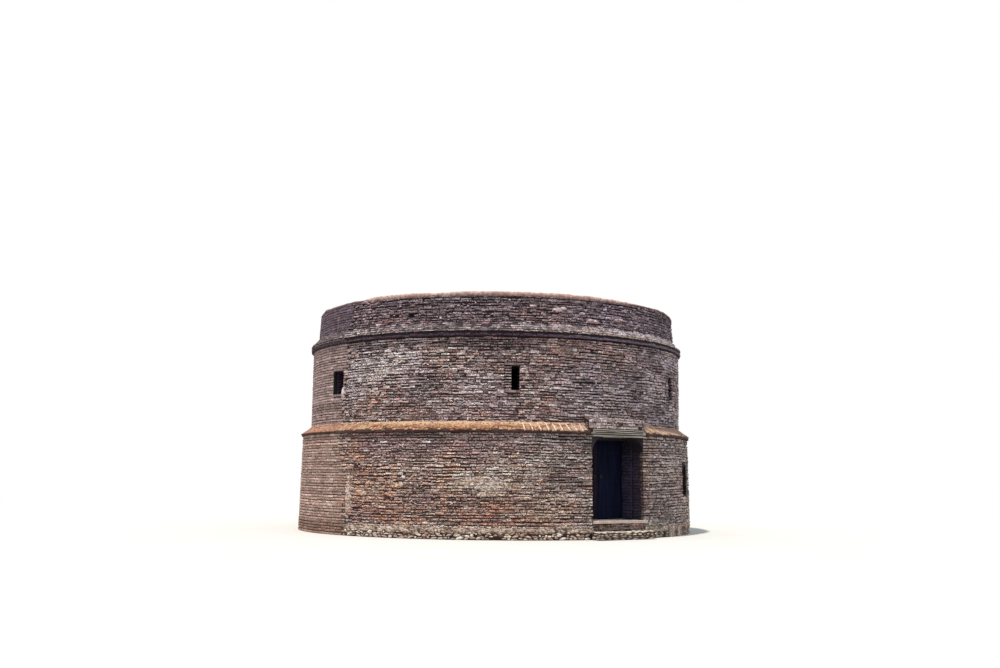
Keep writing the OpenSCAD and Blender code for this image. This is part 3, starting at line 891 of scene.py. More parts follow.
DOOR_HALF = 0.86
SLIT_WIDE = 0.5
SLIT_SILL = 1.06
SLIT_HEAD = 1.96
SLIT_BEARINGS = (35.5, 215.5)
LOWER_OPENINGS = [(0, 2 * DOOR_HALF, 0.0, LOWER_TOP)]
LOWER_OPENINGS += [(bearing, SLIT_WIDE, SLIT_SILL, SLIT_HEAD) for bearing in SLIT_BEARINGS]
LOWER_NODES = ["lower_wall_front_left", "lower_wall_front_right", "lower_wall_right", "lower_wall_back_right",
               "lower_wall_back", "lower_wall_back_left", "slit_aprons", "slit_heads"]
LOWER_COURSES = 32
REVEAL_HALF = 0.80


def levels_between(low, high, courses):
    """The heights of the joints between two heights."""
    course = (high - low) / courses
    return [low + course * step for step in range(1, courses)]


lower_bed = mortar_bed("lower_mortar", LOWER_NODES, lower_radius, skin_depth,
                       levels_between(FOUNDATION_TOP, LOWER_TOP, LOWER_COURSES), mortar_material,
                       room_material, inner=ROOM_R,
                       openings=LOWER_OPENINGS + [(0, 2 * REVEAL_HALF, 0, LOWER_TOP)])

OLD_MIX = ([0.23, 0.17, 0.12, 0.07], [0.26, 0.3, 0.3, 0.14])
NEW_MIX = ([0.235, 0.12], [0.85, 0.15])
dice = random.Random(23)
old_stock = Stock([0.23, 0.16, 0.11, 0.06], 0.11, 0.054, dice)


def lower_tone_and_sun(bearing, height):
    """The old brick is warmest low down on the doorway's left and greys towards the right, partly in its own
    colour and partly as painted sunlight on the left and painted shade on the right.
    """
    across = kept_in(1 - (bearing + 62) / 75, 0.15, 1) if -90 < bearing < 60 else 0.35
    return across * kept_in(1.25 - 0.3 * height, 0.4, 1)


lower_weather = Weather(
    {"umber": 24, "clay": 26, "plum": 12, "fawn": 12, "ash": 8, "rust": 10, "lichen": 3, "soot": 4},
    lower_tone_and_sun,
    [(-43, 0.6, 34, 0.32, "clay", 0.5), (-42, 0.46, 16, 0.15, "rust", 0.7), (-40, 0.8, 8, 0.26, "rust", 0.5),
     (-62, 1.45, 12, 0.3, "rust", 0.35), (-38, 1.4, 8, 0.34, "sand", 0.8), (-28, 1.35, 4, 0.24, "fawn", 0.6),
     (-45, 2.38, 34, 0.26, "plum", 0.5), (-14, 0.86, 4.5, 0.14, "rust", 0.7),
     (-40, 0.31, 34, 0.05, "fawn", 0.8), (-8.4, 0.45, 1.6, 0.6, "lichen", 1.0),
     (-75.6, 1.2, 2.2, 0.9, "fawn", 0.6), (-60, 2.0, 9, 0.12, "plum", 0.5), (-45, 2.6, 46, 0.08, "soot", 0.5),
     (-70, 2.42, 12, 0.2, "plum", 0.5), (-70, 1.3, 12, 0.7, "umber", 0.4)],
    seed=3.0, light=1.19, burnt=0.05, limed=0.045, eaten=0.03, shade_blue=0.0)


def wave(bearing, height, low, high):
    """Old courses rise and fall, but not at the wall's foot and head."""
    slack = kept_in(min(height - low, high - height) * 0.15, 0, 0.032)
    slow = noise.noise(Vector((bearing * 0.05, height * 0.6, 7.0)))
    quick = noise.noise(Vector((bearing * 0.28, height * 2.5, 17.0)))
    return slack * (slow + 0.6 * quick)


def lay_old_ring(heap, stock, weather, low, high, courses, outline, openings, dice):
    """Lays all the old courses between two heights."""
    beds = uneven_beds(low, high, courses, 0.2, dice)
    for step, (bottom, top) in enumerate(zip(beds, beds[1:])):
        height = (bottom + top) / 2
        radius = outline(height)
        start = joint_bearing(height) + (0.9 if step % 2 else -0.5) + dice.uniform(-0.6, 0.6)
        end = 360 + far_joint(height) + (0.9 if step % 2 else -0.5)
        for first, last in free_spans(start, end, openings, bottom, top, radius):

            def place(at):
                bearing = first + math.degrees(at / radius)
                return facing(bearing, radius, bottom + 0.006 + wave(bearing, height, low, high))

            def look(at, matrix):
                here = matrix.translation
                bearing = first + math.degrees(at / radius)
                cover = smeared(bearing, height)
                bed_depth = min(skin_depth(bearing, bottom), skin_depth(bearing, top))
                chance = dice.random()
                inside = 0.2 < at < math.radians(last - first) * radius - 0.2
                if inside and (chance < weather.eaten * 0.02 or pole_hole(bearing, height)):
                    return None, 0, 1
                back = bulge(here) + 0.007 + 0.011 * swell(here, 3, 15) + dice.gauss(0, 0.008)
                paint = weather.paint(bearing, height, dice)
                if chance > 1 - weather.eaten:
                    back += dice.uniform(0.01, 0.036)
                    paint = mixed_paint(paint, CLAYS["soot"], 0.5)
                if cover > dice.random():
                    paint = mixed_paint(paint, CLAYS[dice.choice(["ash", "lime", "fawn", "sand"])], 0.7)
                    back += 0.008 * cover
                squat = 1 - kept_in(swell(here, 1.4, 13.8) * 0.9, 0, 0.35)
                return paint, max(min(back, bed_depth - 0.008), 0.003), squat

            run = math.radians(last - first) * radius
            lay_course(heap, stock, place, run, top - bottom, look, OLD_MIX, dice.uniform(0.014, 0.022), dice)


def crumb(dice):
    """A lump of old mortar of unit size."""
    bm = bmesh.new()
    bmesh.ops.create_icosphere(bm, subdivisions=1, radius=0.5)
    return worn(bm, 0.11, dice)


crumbs = [crumb(random.Random(5 + number)) for number in range(8)]
CRUMB_PAINTS = [(240, 230, 218), (224, 210, 198), (204, 188, 176), (178, 158, 148), (112, 80, 70),
                (70, 48, 46)]


def strew_crumbs(heap, low, high, outline, openings, number, dice):
    """Lumps of mortar left clinging between and over the old bricks, thickest where mortar was smeared."""
    for attempt in range(number):
        height = dice.uniform(low + 0.03, high - 0.03)
        bearing = dice.uniform(joint_bearing(height), 360 + far_joint(height))
        cluster = noise.noise(spot(bearing, MEAN_R, height) * 1.7 + Vector((0, 0, 40)))
        if dice.random() > 0.4 + 1.2 * cluster + 2.0 * smeared(bearing, height):
            continue
        radius = outline(height)
        room_for = (bearing - 1.1, bearing + 1.1)
        if free_spans(*room_for, openings, height - 0.04, height + 0.04, radius) != [room_for]:
            continue
        wide = dice.uniform(0.03, 0.1)
        tall = dice.uniform(0.018, 0.04)
        back = bulge(spot(bearing, radius, height)) + dice.uniform(0.006, 0.02)
        turn = Matrix.Rotation(dice.gauss(0, 0.25), 4, "Y")
        size = Matrix.Diagonal((wide, 0.035, tall, 1))
        heap.put(dice.choice(crumbs), facing(bearing, radius - back, height) @ turn @ size,
                 dice.choice(CRUMB_PAINTS))


def lay_new_ring(heap, stock, paint_of, low, high, courses, outline, openings, dice):
    """Lays all the even courses of the rebuilt side between two heights."""
    beds = uneven_beds(low, high, courses, 0.06, dice)
    for step, (bottom, top) in enumerate(zip(beds, beds[1:])):
        height = (bottom + top) / 2
        radius = outline(height)
        start = far_joint(height) + (0.9 if step % 2 else -0.5)
        end = joint_bearing(height) + (0.9 if step % 2 else -0.5)
        joint = dice.choice((0.015, 0.018, 0.021, 0.027))
        course_light = dice.gauss(1.0, 0.06)
        for first, last in free_spans(start, end, openings, bottom, top, radius):
            place = along_ring(first, radius, bottom + 0.005)

            def look(at, matrix):
                back = 0.005 + abs(dice.gauss(0, 0.003))
                paint = paint_of(first + math.degrees(at / radius), height, dice)
                return tuple(value * course_light for value in paint), back, 1

            run = math.radians(last - first) * radius
            lay_course(heap, stock, place, run, top - bottom, look, NEW_MIX, joint, dice, 0.35)


heap = Heap("lower_bricks_old")
lay_old_ring(heap, old_stock, lower_weather, FOUNDATION_TOP, LOWER_TOP, LOWER_COURSES, lower_radius,
             crumbled(LOWER_OPENINGS), dice)
strew_crumbs(heap, FOUNDATION_TOP, LOWER_TOP, lower_radius, LOWER_OPENINGS, 4200, dice)
lower_old = heap.finish(brick_material)
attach(lower_old, "tower")

new_stock = Stock([0.221, 0.106], 0.11, 0.058, dice, broken=0)


def new_lower_paint(bearing, height, dice):
    """Even tan brick, plainer and darker in a band at the foot."""
    paint = mixed_paint((174, 145, 131), (212, 184, 170), dice.random())
    streak = kept_in(1 - abs(bearing + 84.2) / 1.6, 0, 1)
    streak *= kept_in(noise.noise(Vector((bearing, height * 3, 0))) + 0.4, 0, 1)
    paint = mixed_paint(paint, CLAYS["lime"], streak)
    foot = kept_in((0.42 - height) / 0.1, 0, 1)
    paint = mixed_paint(paint, (150, 118, 102), foot * 0.8)
    return lit(paint, dice.gauss(1.0, 0.055))


heap = Heap("lower_bricks_rebuilt")
lay_new_ring(heap, new_stock, new_lower_paint, 0.0, LOWER_TOP, LOWER_COURSES + 4, lower_radius,
             LOWER_OPENINGS, dice)
lower_new = heap.finish(rebuilt_material, reach=BASE_R + 0.003)
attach(lower_new, "tower")


# The doorway's sides: the same bricks, end on and side on, that turn the corner into the recess, the
# narrower reveal behind it and the passage behind the door frame.

FACE_Y = -5.70
RECESS_BACK_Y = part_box("door_lintel")[1].y
FRAME_FRONT_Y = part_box("door_frame")[0].y
FRAME_BACK_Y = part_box("door_frame")[1].y
SILL_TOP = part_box("threshold")[1].z
LINTEL_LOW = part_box("door_lintel")[0].z
REVEAL_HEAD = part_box("door_frame")[1].z
PASSAGE_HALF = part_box("door_frame")[1].x
BRICK_DEEP = 0.11


def lay_jambs(heap, stock, weather, tone, turn, half, outer, inner, low, high, courses, proud, dice):
    """Faces both sides of an opening with bricks. The opening looks along its bearing `turn`, is twice
    `half` wide and runs from `outer` to `inner`, both distances from the axis. The bricks' colours are
    evened out towards a tone, a painted shade colour."""
    around = Matrix.Rotation(math.radians(turn), 4, "Z")
    course = (high - low) / courses
    for hand in (-1, 1):
        for step in range(courses):
            bottom = low + course * step

            def place(at):
                along = outer - at if hand < 0 else inner + at
                corner = Matrix.Translation((hand * half, -along, bottom + 0.006))
                return around @ corner @ Matrix.Rotation(math.radians(-90 * hand), 4, "Z")

            def look(at, matrix):
                here = matrix.translation
                paint = mixed_paint(weather.paint(turn, here.z, dice), tone, 0.72)
                return paint, dice.uniform(-1.2, 0.2) * proud, 1

            lay_course(heap, stock, place, outer - inner, course, look, JAMB_MIX, 0.016, dice, 0.6)


def cool(bearing, height):
    return 0.0


# The sides of the doorway, the windows and the slits are evened out to dim plum and grey tones as painted
# shade.
jamb_weather = Weather({"plum": 70, "umber": 30}, cool, [], seed=5.0, light=0.8, burnt=0.1, limed=0, eaten=0,
                       shade_blue=0.06)
hollow_weather = Weather({"plum": 60, "ash": 20, "soot": 20}, cool, [], seed=7.0, light=0.9, eaten=0)
JAMB_SHADE_TONE = (118, 108, 114)
HOLLOW_SHADE_TONE = (108, 74, 86)
JAMB_MIX = ([0.23, 0.17], [0.6, 0.4])
heap = Heap("doorway_side_bricks")
for half, outer, inner, head, courses in (
        (DOOR_HALF, -FACE_Y - BRICK_DEEP - 0.06, -RECESS_BACK_Y, LINTEL_LOW, 29),
        (REVEAL_HALF, -RECESS_BACK_Y, -FRAME_FRONT_Y, REVEAL_HEAD, 28),
        (PASSAGE_HALF, -FRAME_BACK_Y, ROOM_R - 0.03, REVEAL_HEAD, 28)):
    lay_jambs(heap, old_stock, jamb_weather, JAMB_SHADE_TONE, 0, half, outer, inner, SILL_TOP, head, courses, 0.008,
              dice)
# The doorway's side bricks take the painted-shade brick finish.
doorway_sides = heap.finish(shaded_material)
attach(doorway_sides, "tower")


# The steps: a brick base under one worn slab of sandy stone, and before it a low step of rounded
# cobbles bedded in pale mortar.

slab_material, slab = new_finish("sandy_stone")
grit = slab.grain(180, 4.0)
wear = slab.grain(4.2, 5.0)
tone = slab.turned(wear, 0.35, 0.7, (206, 184, 168), (232, 215, 200))
stained = slab.turned(slab.grain(11, 5.0), 0.5, 0.75, tone, (160, 134, 120), 0.5)
slab.surface(stained, 0.85, grit * 0.4 + wear * 0.6, 0.008)


def buried(piece, depth):
    """Marks a piece of mortar as lying at one depth between its stones."""
    noted(piece, "sunk", [depth] * len(piece.data.vertices))


def roughened(node, name, cuts, amount, *materials, least=0.0):
    """A copy of a CAD node with its faces cut small and worn inwards by `least` and up to `amount` more."""
    bm = clean_copy(node)
    bmesh.ops.triangulate(bm, faces=bm.faces)
    for turn in range(cuts):
        long = [edge for edge in bm.edges if edge.calc_length() > 0.12]
        bmesh.ops.subdivide_edges(bm, edges=long, cuts=1, use_grid_fill=True)
        bmesh.ops.triangulate(bm, faces=[face for face in bm.faces if len(face.verts) > 3])
    bm.normal_update()
    middle = sum((vert.co for vert in bm.verts), Vector()) / len(bm.verts)
    for vert in bm.verts:
        bite = 0.5 + 0.5 * noise.noise(vert.co * 6.0) + 0.25 * noise.noise(vert.co * 19.0)
        vert.co -= vert.normal * (least + amount * kept_in(bite, 0, 1.2))
    piece = shown(bm, name, *materials)
    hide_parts(node)
    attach(piece, "tower")
    return piece


threshold_slab = roughened("threshold", "threshold_slab", 3, 0.012, slab_material)

sill_bed = mortar_bed("sill_mortar", ["door_sill"], lower_radius, lambda bearing, height: 0.045,
                      (0.1, 0.2, 0.3), mortar_material)


def warm(bearing, height):
    return 0.7


sill_weather = Weather({"clay": 18, "umber": 20, "sand": 34, "fawn": 28}, warm, [], seed=21.0, light=1.06,
                       burnt=0.14)
heap = Heap("sill_bricks")
sill_courses = 5
sill_course = (SILL_TOP - 0.07) / sill_courses
for step in range(sill_courses):

    def place(at):
        bearing = math.degrees((at - DOOR_HALF) / BASE_R)
        return facing(bearing, lower_radius(0.2), sill_course * step + 0.006)

    def look(at, matrix):
        return sill_weather.paint(0, 0.3, dice), 0.01 + abs(dice.gauss(0, 0.006)), 1

    lay_course(heap, old_stock, place, 2 * DOOR_HALF, sill_course, look, OLD_MIX, 0.014, dice)
sill_bricks = heap.finish(brick_material, reach=BASE_R + 0.003)
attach(sill_bricks, "tower")

step_bed = roughened("lower_step", "step_mortar", 3, 0.02, mortar_material, least=0.036)
buried(step_bed, 0.03)
STEP_LOW, STEP_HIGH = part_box("lower_step")
PALE_STONES = [(186, 176, 158), (168, 156, 138), (150, 136, 120), (176, 160, 138), (126, 112, 98),
               (204, 194, 176)]
heap = Heap("step_cobbles")


def lay_cobbles(heap, start, along, run, deep, low, high, dice):
    """A row of cobbles along a line, each as wide as comes to hand."""
    at = 0.0
    while at < run - 0.05:
        width = min(dice.uniform(0.09, 0.27), run - at)
        middle = Vector(start) + Vector(along) * (at + width / 2)
        sizes = (width, deep) if abs(along[0]) > 0.5 else (deep, width)
        size = Matrix.Diagonal((*sizes, dice.uniform(low, high), 1))
        turn = Matrix.Rotation(dice.uniform(-0.14, 0.14), 4, "Y")
        place = Matrix.Translation(middle + Vector((0, 0, dice.uniform(-0.01, 0.01))))
        heap.put(dice.choice(rocks), place @ turn @ size, dice.choice(PALE_STONES))
        at += width * 1.02 + dice.uniform(0, 0.03)


step_wide = STEP_HIGH.x - STEP_LOW.x
step_deep = STEP_HIGH.y - STEP_LOW.y
for level in (0.03, 0.082, 0.132, 0.182):
    inset = dice.uniform(0.06, 0.074)
    lay_cobbles(heap, (STEP_LOW.x + 0.01, STEP_LOW.y + inset, level), (1, 0, 0), step_wide - 0.02, 0.095,
                0.036, 0.056, dice)
    for side_x in (STEP_LOW.x + 0.05, STEP_HIGH.x - 0.05):
        lay_cobbles(heap, (side_x, STEP_LOW.y + 0.08, level), (0, 1, 0), step_deep - 0.1, 0.085, 0.036,
                    0.052, dice)
for row in range(3):
    lay_cobbles(heap, (STEP_LOW.x + 0.06, STEP_LOW.y + 0.12 + row * 0.1, STEP_HIGH.z - 0.032), (1, 0, 0),
                step_wide - 0.12, 0.105, 0.042, 0.052, dice)
step_stones = heap.finish(stone_material, reach=9.0)
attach(step_stones, "tower")


# The lintel: old hardwood boards laid flat over the doorway, bleached grey-green, with the ends ragged.

grey_wood_material, grey_wood = new_finish("bleached_boards")
fibre = grey_wood.grain(30, 6.0, (0.06, 1.0, 2.2))
check = grey_wood.grain(90, 3.0, (0.04, 1.0, 3.0))
bleached = grey_wood.turned(fibre, 0.3, 0.7, (112, 105, 98), (206, 200, 186))
checked = grey_wood.turned(check, 0.54, 0.68, bleached, (48, 38, 38), 0.85)
grey_wood.surface(checked, 0.85, fibre * 0.6 + check * 0.4, 0.006)


def board(bm, low, high, dice, wear=0.004, cuts=6):
    """Adds one long sawn board between two corners, with its edges worn and its length a little bowed."""
    size = Vector(high) - Vector(low)
    part = block(size, (Vector(low) + Vector(high)) / 2)
    rubbed(part, part.edges[:], wear)
    lengthwise = max(range(3), key=lambda axis: size[axis])
    normal = [0.0, 0.0, 0.0]
    normal[lengthwise] = 1.0
    for cut in range(1, cuts):
        middle = Vector(low)
        middle[lengthwise] += size[lengthwise] * (cut + dice.uniform(-0.3, 0.3)) / cuts
        sawn(part, middle, normal)
    shift = jolt(dice, 50)
    for vert in part.verts:
        bow = noise.noise_vector(vert.co * 2.5 + shift) * wear * 0.6
        bow[lengthwise] = 0.0
        vert.co += bow
    gathered(bm, part)


LINTEL_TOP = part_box("door_lintel")[1].z
lintel_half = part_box("door_lintel")[1].x
lintel_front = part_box("door_lintel")[0].y - 0.02
bm = bmesh.new()
board_deep = 0.158
board_gap = 0.012
front_worn = 0.03
for number in range(3):
    front = lintel_front + number * (board_deep + board_gap)
    low = LINTEL_LOW + 0.004 * (number % 2)
    top = LINTEL_TOP - (0.0 if number else front_worn)
    board(bm, (-lintel_half, front, low), (lintel_half, front + board_deep, top), dice)
lintel = shown(bm, "lintel_boards", grey_wood_material)
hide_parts("door_lintel")
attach(lintel, "tower")


# The door: two leaves of upright planks on ledge boards, hung on long iron straps in a heavy frame.
# Their near-black navy colour is partly old paint of their own and partly painted shade of the recess.

dark_wood_material, dark_wood = new_finish("black_painted_planks")
fibre = dark_wood.grain(34, 6.0, (1.0, 1.0, 0.05))
worn_off = dark_wood.grain(5, 5.0, (1.0, 1.0, 0.35))
painted = dark_wood.turned(fibre, 0.35, 0.7, (9, 14, 36), (24, 30, 58))
flaked = dark_wood.turned(worn_off, 0.55, 0.75, painted, (34, 32, 46), 0.6)
dark_wood.surface(flaked, 0.7 + 0.25 * fibre, fibre, 0.003, Specular_IOR_Level=0.12)

# The left leaf has lost more of its paint and shows brown; its dark colour is also partly painted shade.
brown_wood_material, brown_wood = new_finish("brown_worn_planks")
fibre = brown_wood.grain(34, 6.0, (1.0, 1.0, 0.05))
worn_off = brown_wood.grain(6, 5.0, (1.0, 1.0, 0.35))
faded = brown_wood.turned(fibre, 0.35, 0.7, (26, 20, 32), (46, 36, 50))
spotted = brown_wood.turned(worn_off, 0.5, 0.7, faded, (20, 18, 30), 0.7)
brown_wood.surface(spotted, 0.75 + 0.2 * fibre, fibre, 0.003, Specular_IOR_Level=0.12)

planks = 5
plank_gap = 0.004
for hand in ("left", "right"):
    low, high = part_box(hand + "_leaf")
    bm = bmesh.new()
    plank = (high.x - low.x + plank_gap) / planks
    for number in range(planks):
        start = low.x + plank * number
        board(bm, (start, low.y, low.z), (start + plank - plank_gap, high.y, high.z), dice, 0.003, 4)
    leaf = shown(bm, hand + "_leaf_planks", brown_wood_material if hand == "left" else dark_wood_material)
    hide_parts(hand + "_leaf")
    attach(leaf, hand + "_door")


def smoothed(piece):
    """Shades a piece's faces as one soft surface."""
    for face in piece.data.polygons:
        face.use_smooth = True


# Hand-made nails clench the planks to the ledge boards behind them.
iron_material, iron = new_finish("rusted_iron")
scale_rust = iron.grain(60, 6.0)
rusted = iron.turned(scale_rust, 0.4, 0.7, (34, 31, 36), (74, 54, 48))
iron.surface(rusted, 0.6 + 0.3 * scale_rust, scale_rust, 0.002, Metallic=0.3)
nail_wide = 0.024
for hand in ("left", "right"):
    low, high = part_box(hand + "_leaf")
    ledge_low, ledge_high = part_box(hand + "_leaf_ledgers")
    bm = bmesh.new()
    for level in (ledge_low.z + 0.05, (ledge_low.z + ledge_high.z) / 2, ledge_high.z - 0.05):
        for number in range(planks * 2):
            at = between(low.x, high.x, (number + 0.5) / planks / 2)
            place = (at + dice.uniform(-0.008, 0.008), low.y, level + dice.uniform(-0.008, 0.008))
            matrix = Matrix.Translation(place) @ Matrix.Diagonal((nail_wide, 0.012, nail_wide, 1))
            bmesh.ops.create_icosphere(bm, subdivisions=1, radius=0.5, matrix=matrix)
    nails = shown(bm, hand + "_leaf_nails", iron_material)
    smoothed(nails)
    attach(nails, hand + "_door")


# The ledge: flat terracotta tiles laid side by side up a slope of mortar, over a course of brick ends.
# The old tiles are lumpy, sun-bleached and ragged at the nose. The rebuilt side's are thin and redder.

LEDGE_LOW = LOWER_TOP
LEDGE_NOSE = 5.731
LEDGE_EDGE = LEDGE_LOW + 0.065
LEDGE_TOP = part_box("tile_ledge_right")[1].z
UPPER_R = 5.44
LEDGE_SLOPE = math.atan2(LEDGE_TOP - LEDGE_EDGE, LEDGE_NOSE - UPPER_R)
PANEL_HALF = 0.94
panel_bearing = math.degrees(math.asin(PANEL_HALF / LEDGE_NOSE))


def ledge_outline(height):
    if height <= LEDGE_EDGE + 0.001:
        return LEDGE_NOSE
    return between(LEDGE_NOSE, UPPER_R, (height - LEDGE_EDGE) / (LEDGE_TOP - LEDGE_EDGE))


def ledge_sunk(bearing, height):
    place = spot(bearing, MEAN_R, height)
    return (0.034 if height < LEDGE_EDGE + 0.001 else 0.040) + 0.008 * noise.noise(place * 5)


ledge_bed = mortar_bed("ledge_mortar", ["tile_ledge_left", "tile_ledge_right"], ledge_outline, ledge_sunk,
                       (LEDGE_LOW + 0.03,), mortar_material)


def roof_tile(width, length, thick, dice):
    """A flat tile with its nose at y = 0, its top at z = 0 and its length along +Y."""
    bm = block((width, length, thick), (0, length / 2, -thick / 2))
    for cut in (0.33, 0.66):
        sawn(bm, (0, length * cut, 0), (0, 1, 0))
    rim = [edge for edge in bm.edges if sum(face.normal.z > 0.5 for face in edge.link_faces) == 1]
    rubbed(bm, rim, 0.006)
    return worn(bm, 0.0022, dice)


tile_material, tile = new_finish("terracotta_tiles")
tint = tile.kept("tint", "Color")
fine = tile.grain(130, 4.0)
coarse = tile.grain(16, 5.0)
bleach = tile.turned(coarse, 0.42, 0.66, tint, (210, 178, 144), 0.6)
dark_spots = tile.turned(tile.grain(26, 6.0), 0.5, 0.64, bleach, (118, 66, 44), 0.75)
tile.surface(dark_spots, 0.82 + 0.1 * fine, fine * 0.4 + coarse * 0.6, 0.012)

GOLDEN_TILE = (168, 130, 99)
BROWN_TILE = (130, 86, 64)
NEW_TILES = [(132, 82, 66), (124, 76, 62), (138, 88, 72)]
tile_width = 0.108
tile_length = (LEDGE_NOSE - UPPER_R) / math.cos(LEDGE_SLOPE)
tile_thick = 0.026
tile_shapes = [roof_tile(tile_width, tile_length, tile_thick, dice) for variant in range(8)]
tile_step = 360 / round(2 * math.pi * LEDGE_NOSE / (tile_width + 0.004))
heap = Heap("ledge_tiles")
bearing = -180.0
while bearing < 180 - tile_step / 2:
    middle = bearing + tile_step / 2
    bearing += tile_step
    if abs(middle) < panel_bearing + tile_step * 0.4:
        continue
    new = is_rebuilt(middle, LEDGE_TOP) or is_rebuilt(middle - 360, LEDGE_TOP)
    worn_back = 0.008 + 0.03 * noise.noise(Vector((middle * 0.5, 0, 3))) + abs(dice.gauss(0, 0.026))
    if dice.random() < 0.08:
        worn_back += 0.05
    ragged = 0.002 if new else kept_in(worn_back, 0, 0.1)
    rise = dice.gauss(0, 0.0008 if new else 0.005) - 0.006
    place = facing(middle, LEDGE_NOSE - 0.004 - ragged * 0.8, LEDGE_EDGE + ragged * 0.6 + rise - 0.002)
    tilt = Matrix.Rotation(LEDGE_SLOPE + dice.gauss(0, 0.002 if new else 0.012), 4, "X")
    roll_over = Matrix.Rotation(dice.gauss(0, 0.004 if new else 0.03), 4, "Y")
    wide = 1 if new else dice.uniform(0.84, 0.96)
    size = Matrix.Diagonal((wide, (tile_length - ragged) / tile_length, 1, 1))
    paint = dice.choice(NEW_TILES)
    if not new:
        slow = kept_in(0.45 + 0.9 * noise.noise(Vector((middle * 0.16, 0, 5))) + dice.gauss(0, 0.14), 0, 1)
        paint = mixed_paint(GOLDEN_TILE, BROWN_TILE, slow)
        pale = kept_in((middle + 26) / 14, 0, 1) * (0.8 if dice.random() < 0.5 else 0.3)
        paint = mixed_paint(paint, (160, 140, 130), pale)
        red = span_share(middle, -47, -40.5) * 0.6 + 0.4 * (dice.random() < 0.04)
        paint = mixed_paint(paint, (168, 92, 66), red)
    heap.put(dice.choice(tile_shapes), place @ tilt @ roll_over @ size, paint)
# To the doorway's left the tiles are pointed with narrow ribs of pale mortar.
rib = roof_tile(0.032, tile_length * 0.95, 0.04, dice)
bearing = -27.0
while bearing < -panel_bearing - 0.7:
    place = facing(bearing, LEDGE_NOSE - 0.015, LEDGE_EDGE) @ Matrix.Rotation(LEDGE_SLOPE, 4, "X")
    lean = Matrix.Rotation(dice.gauss(0.06, 0.05), 4, "Z")
    heap.put(rib, place @ Matrix.Translation((0, 0, 0.014)) @ lean, (232, 210, 198))
    bearing += dice.uniform(1.6, 2.1)
ledge_tiles = heap.finish(tile_material, reach=LEDGE_NOSE - 0.001)
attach(ledge_tiles, "tower")

# Tan mortar fills the angle against the upper wall. On the old side it has also been dragged down over the
# tiles, here and there as far as their noses.
fillet_material, fillet_finish = new_finish("tan_fillet")
fine = fillet_finish.grain(150, 4.0)
coarse = fillet_finish.grain(15, 6.0)
down = fillet_finish.kept("down")
golden = fillet_finish.turned(coarse + 0.3 * (down - 0.5), 0.36, 0.62, (186, 150, 114), (138, 90, 62))
bleached = fillet_finish.turned(fillet_finish.grain(30, 5.0) - 0.2 * down, 0.42, 0.54, golden,
                                (204, 176, 144), 0.6)
cracked = fillet_finish.turned(fillet_finish.grain(20, 6.0) + 0.08 * down, 0.58, 0.64, bleached,
                               (84, 44, 34), 0.85)
fillet_finish.surface(cracked, 0.92, fine * 0.4 + coarse * 0.6, 0.014)


def spun(profile, steps):
    """A bmesh of a closed profile, given as (radius, height) corners, turned once round the tower's axis."""
    bm = bmesh.new()
    ring = [bm.verts.new((0, -radius, height)) for radius, height in profile]
    rails = [bm.edges.new(pair) for pair in zip(ring, ring[1:] + ring[:1])]
    bmesh.ops.spin(bm, geom=ring + rails, cent=(0, 0, 0), axis=(0, 0, 1), angle=math.radians(360),
                   steps=steps, use_merge=True)
    bmesh.ops.remove_doubles(bm, verts=bm.verts, dist=1e-5)
    return bm


slope = math.tan(LEDGE_SLOPE)
slope_wide = LEDGE_NOSE - UPPER_R
slope_steps = 7
profile = [(UPPER_R + slope_wide * step / slope_steps, LEDGE_TOP) for step in range(slope_steps + 1)]
profile += [(LEDGE_NOSE, LEDGE_TOP - 0.1), (UPPER_R - 0.03, LEDGE_TOP - 0.1),
            (UPPER_R - 0.03, LEDGE_TOP + 0.02)]
bm = spun(profile, 540)
down = []
for vert in bm.verts:
    radius = vert.co.xy.length
    down.append(kept_in((radius - UPPER_R) / slope_wide, 0, 1))
    if radius < UPPER_R - 0.01:
        vert.co.z += 0.02 * noise.noise(vert.co * 4.0) if vert.co.z > LEDGE_TOP else 0
        continue
    bearing = bearing_of(vert.co)
    around = spot(bearing, MEAN_R, 0)
    full = 0.12 + 0.66 * span_share(bearing, -74, -15, 9.0) + 0.6 * noise.noise(around * 2.2)
    full += 0.3 * noise.noise(around * 11.0)
    share = (radius - UPPER_R) / slope_wide * kept_in(full, 0.07, 0.94)
    lumps = 0.012 * noise.noise(vert.co * 9.0) + 0.008 * noise.noise(vert.co * 26.0)
    sunken = vert.co.z < LEDGE_TOP - 0.01
    thick = -0.03 if sunken else 0.002 + lumps
    vert.co.xy *= (UPPER_R + slope_wide * share) / radius
    vert.co.z = LEDGE_EDGE + (LEDGE_NOSE - vert.co.xy.length) * slope + thick
bmesh.ops.recalc_face_normals(bm, faces=bm.faces)
fillet = shown(bm, "ledge_fillet", fillet_material)
noted(fillet, "down", down)
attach(fillet, "tower")

# The nose bricks under the tiles are painted near black: the tiles' painted shade, with some soot.
heap = Heap("ledge_nose_bricks")
nose_shade_weather = Weather({"soot": 60, "plum": 18, "rust": 22}, warm,
                       [(-58, LEDGE_LOW, 17, 0.4, "soot", 0.3)],
                       seed=31.0, light=0.26, burnt=0.2, limed=0.12)
nose_course = LEDGE_EDGE - LEDGE_LOW - tile_thick + 0.01
for first, last in free_spans(-180, 180, [(0, 2 * PANEL_HALF, 0, 9)], LEDGE_LOW, LEDGE_EDGE, LEDGE_NOSE):
    place = along_ring(first, LEDGE_NOSE, LEDGE_LOW + 0.001)

    def look(at, matrix):
        back = 0.04 + abs(dice.gauss(0, 0.008))
        if dice.random() < 0.08:
            return None, 0, 1
        return nose_shade_weather.paint(first + math.degrees(at / LEDGE_NOSE), LEDGE_LOW, dice), back, 1

    run = math.radians(last - first) * LEDGE_NOSE
    lay_course(heap, old_stock, place, run, nose_course, look, OLD_MIX, 0.01, dice)
nose_bricks = heap.finish(brick_material)
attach(nose_bricks, "tower")


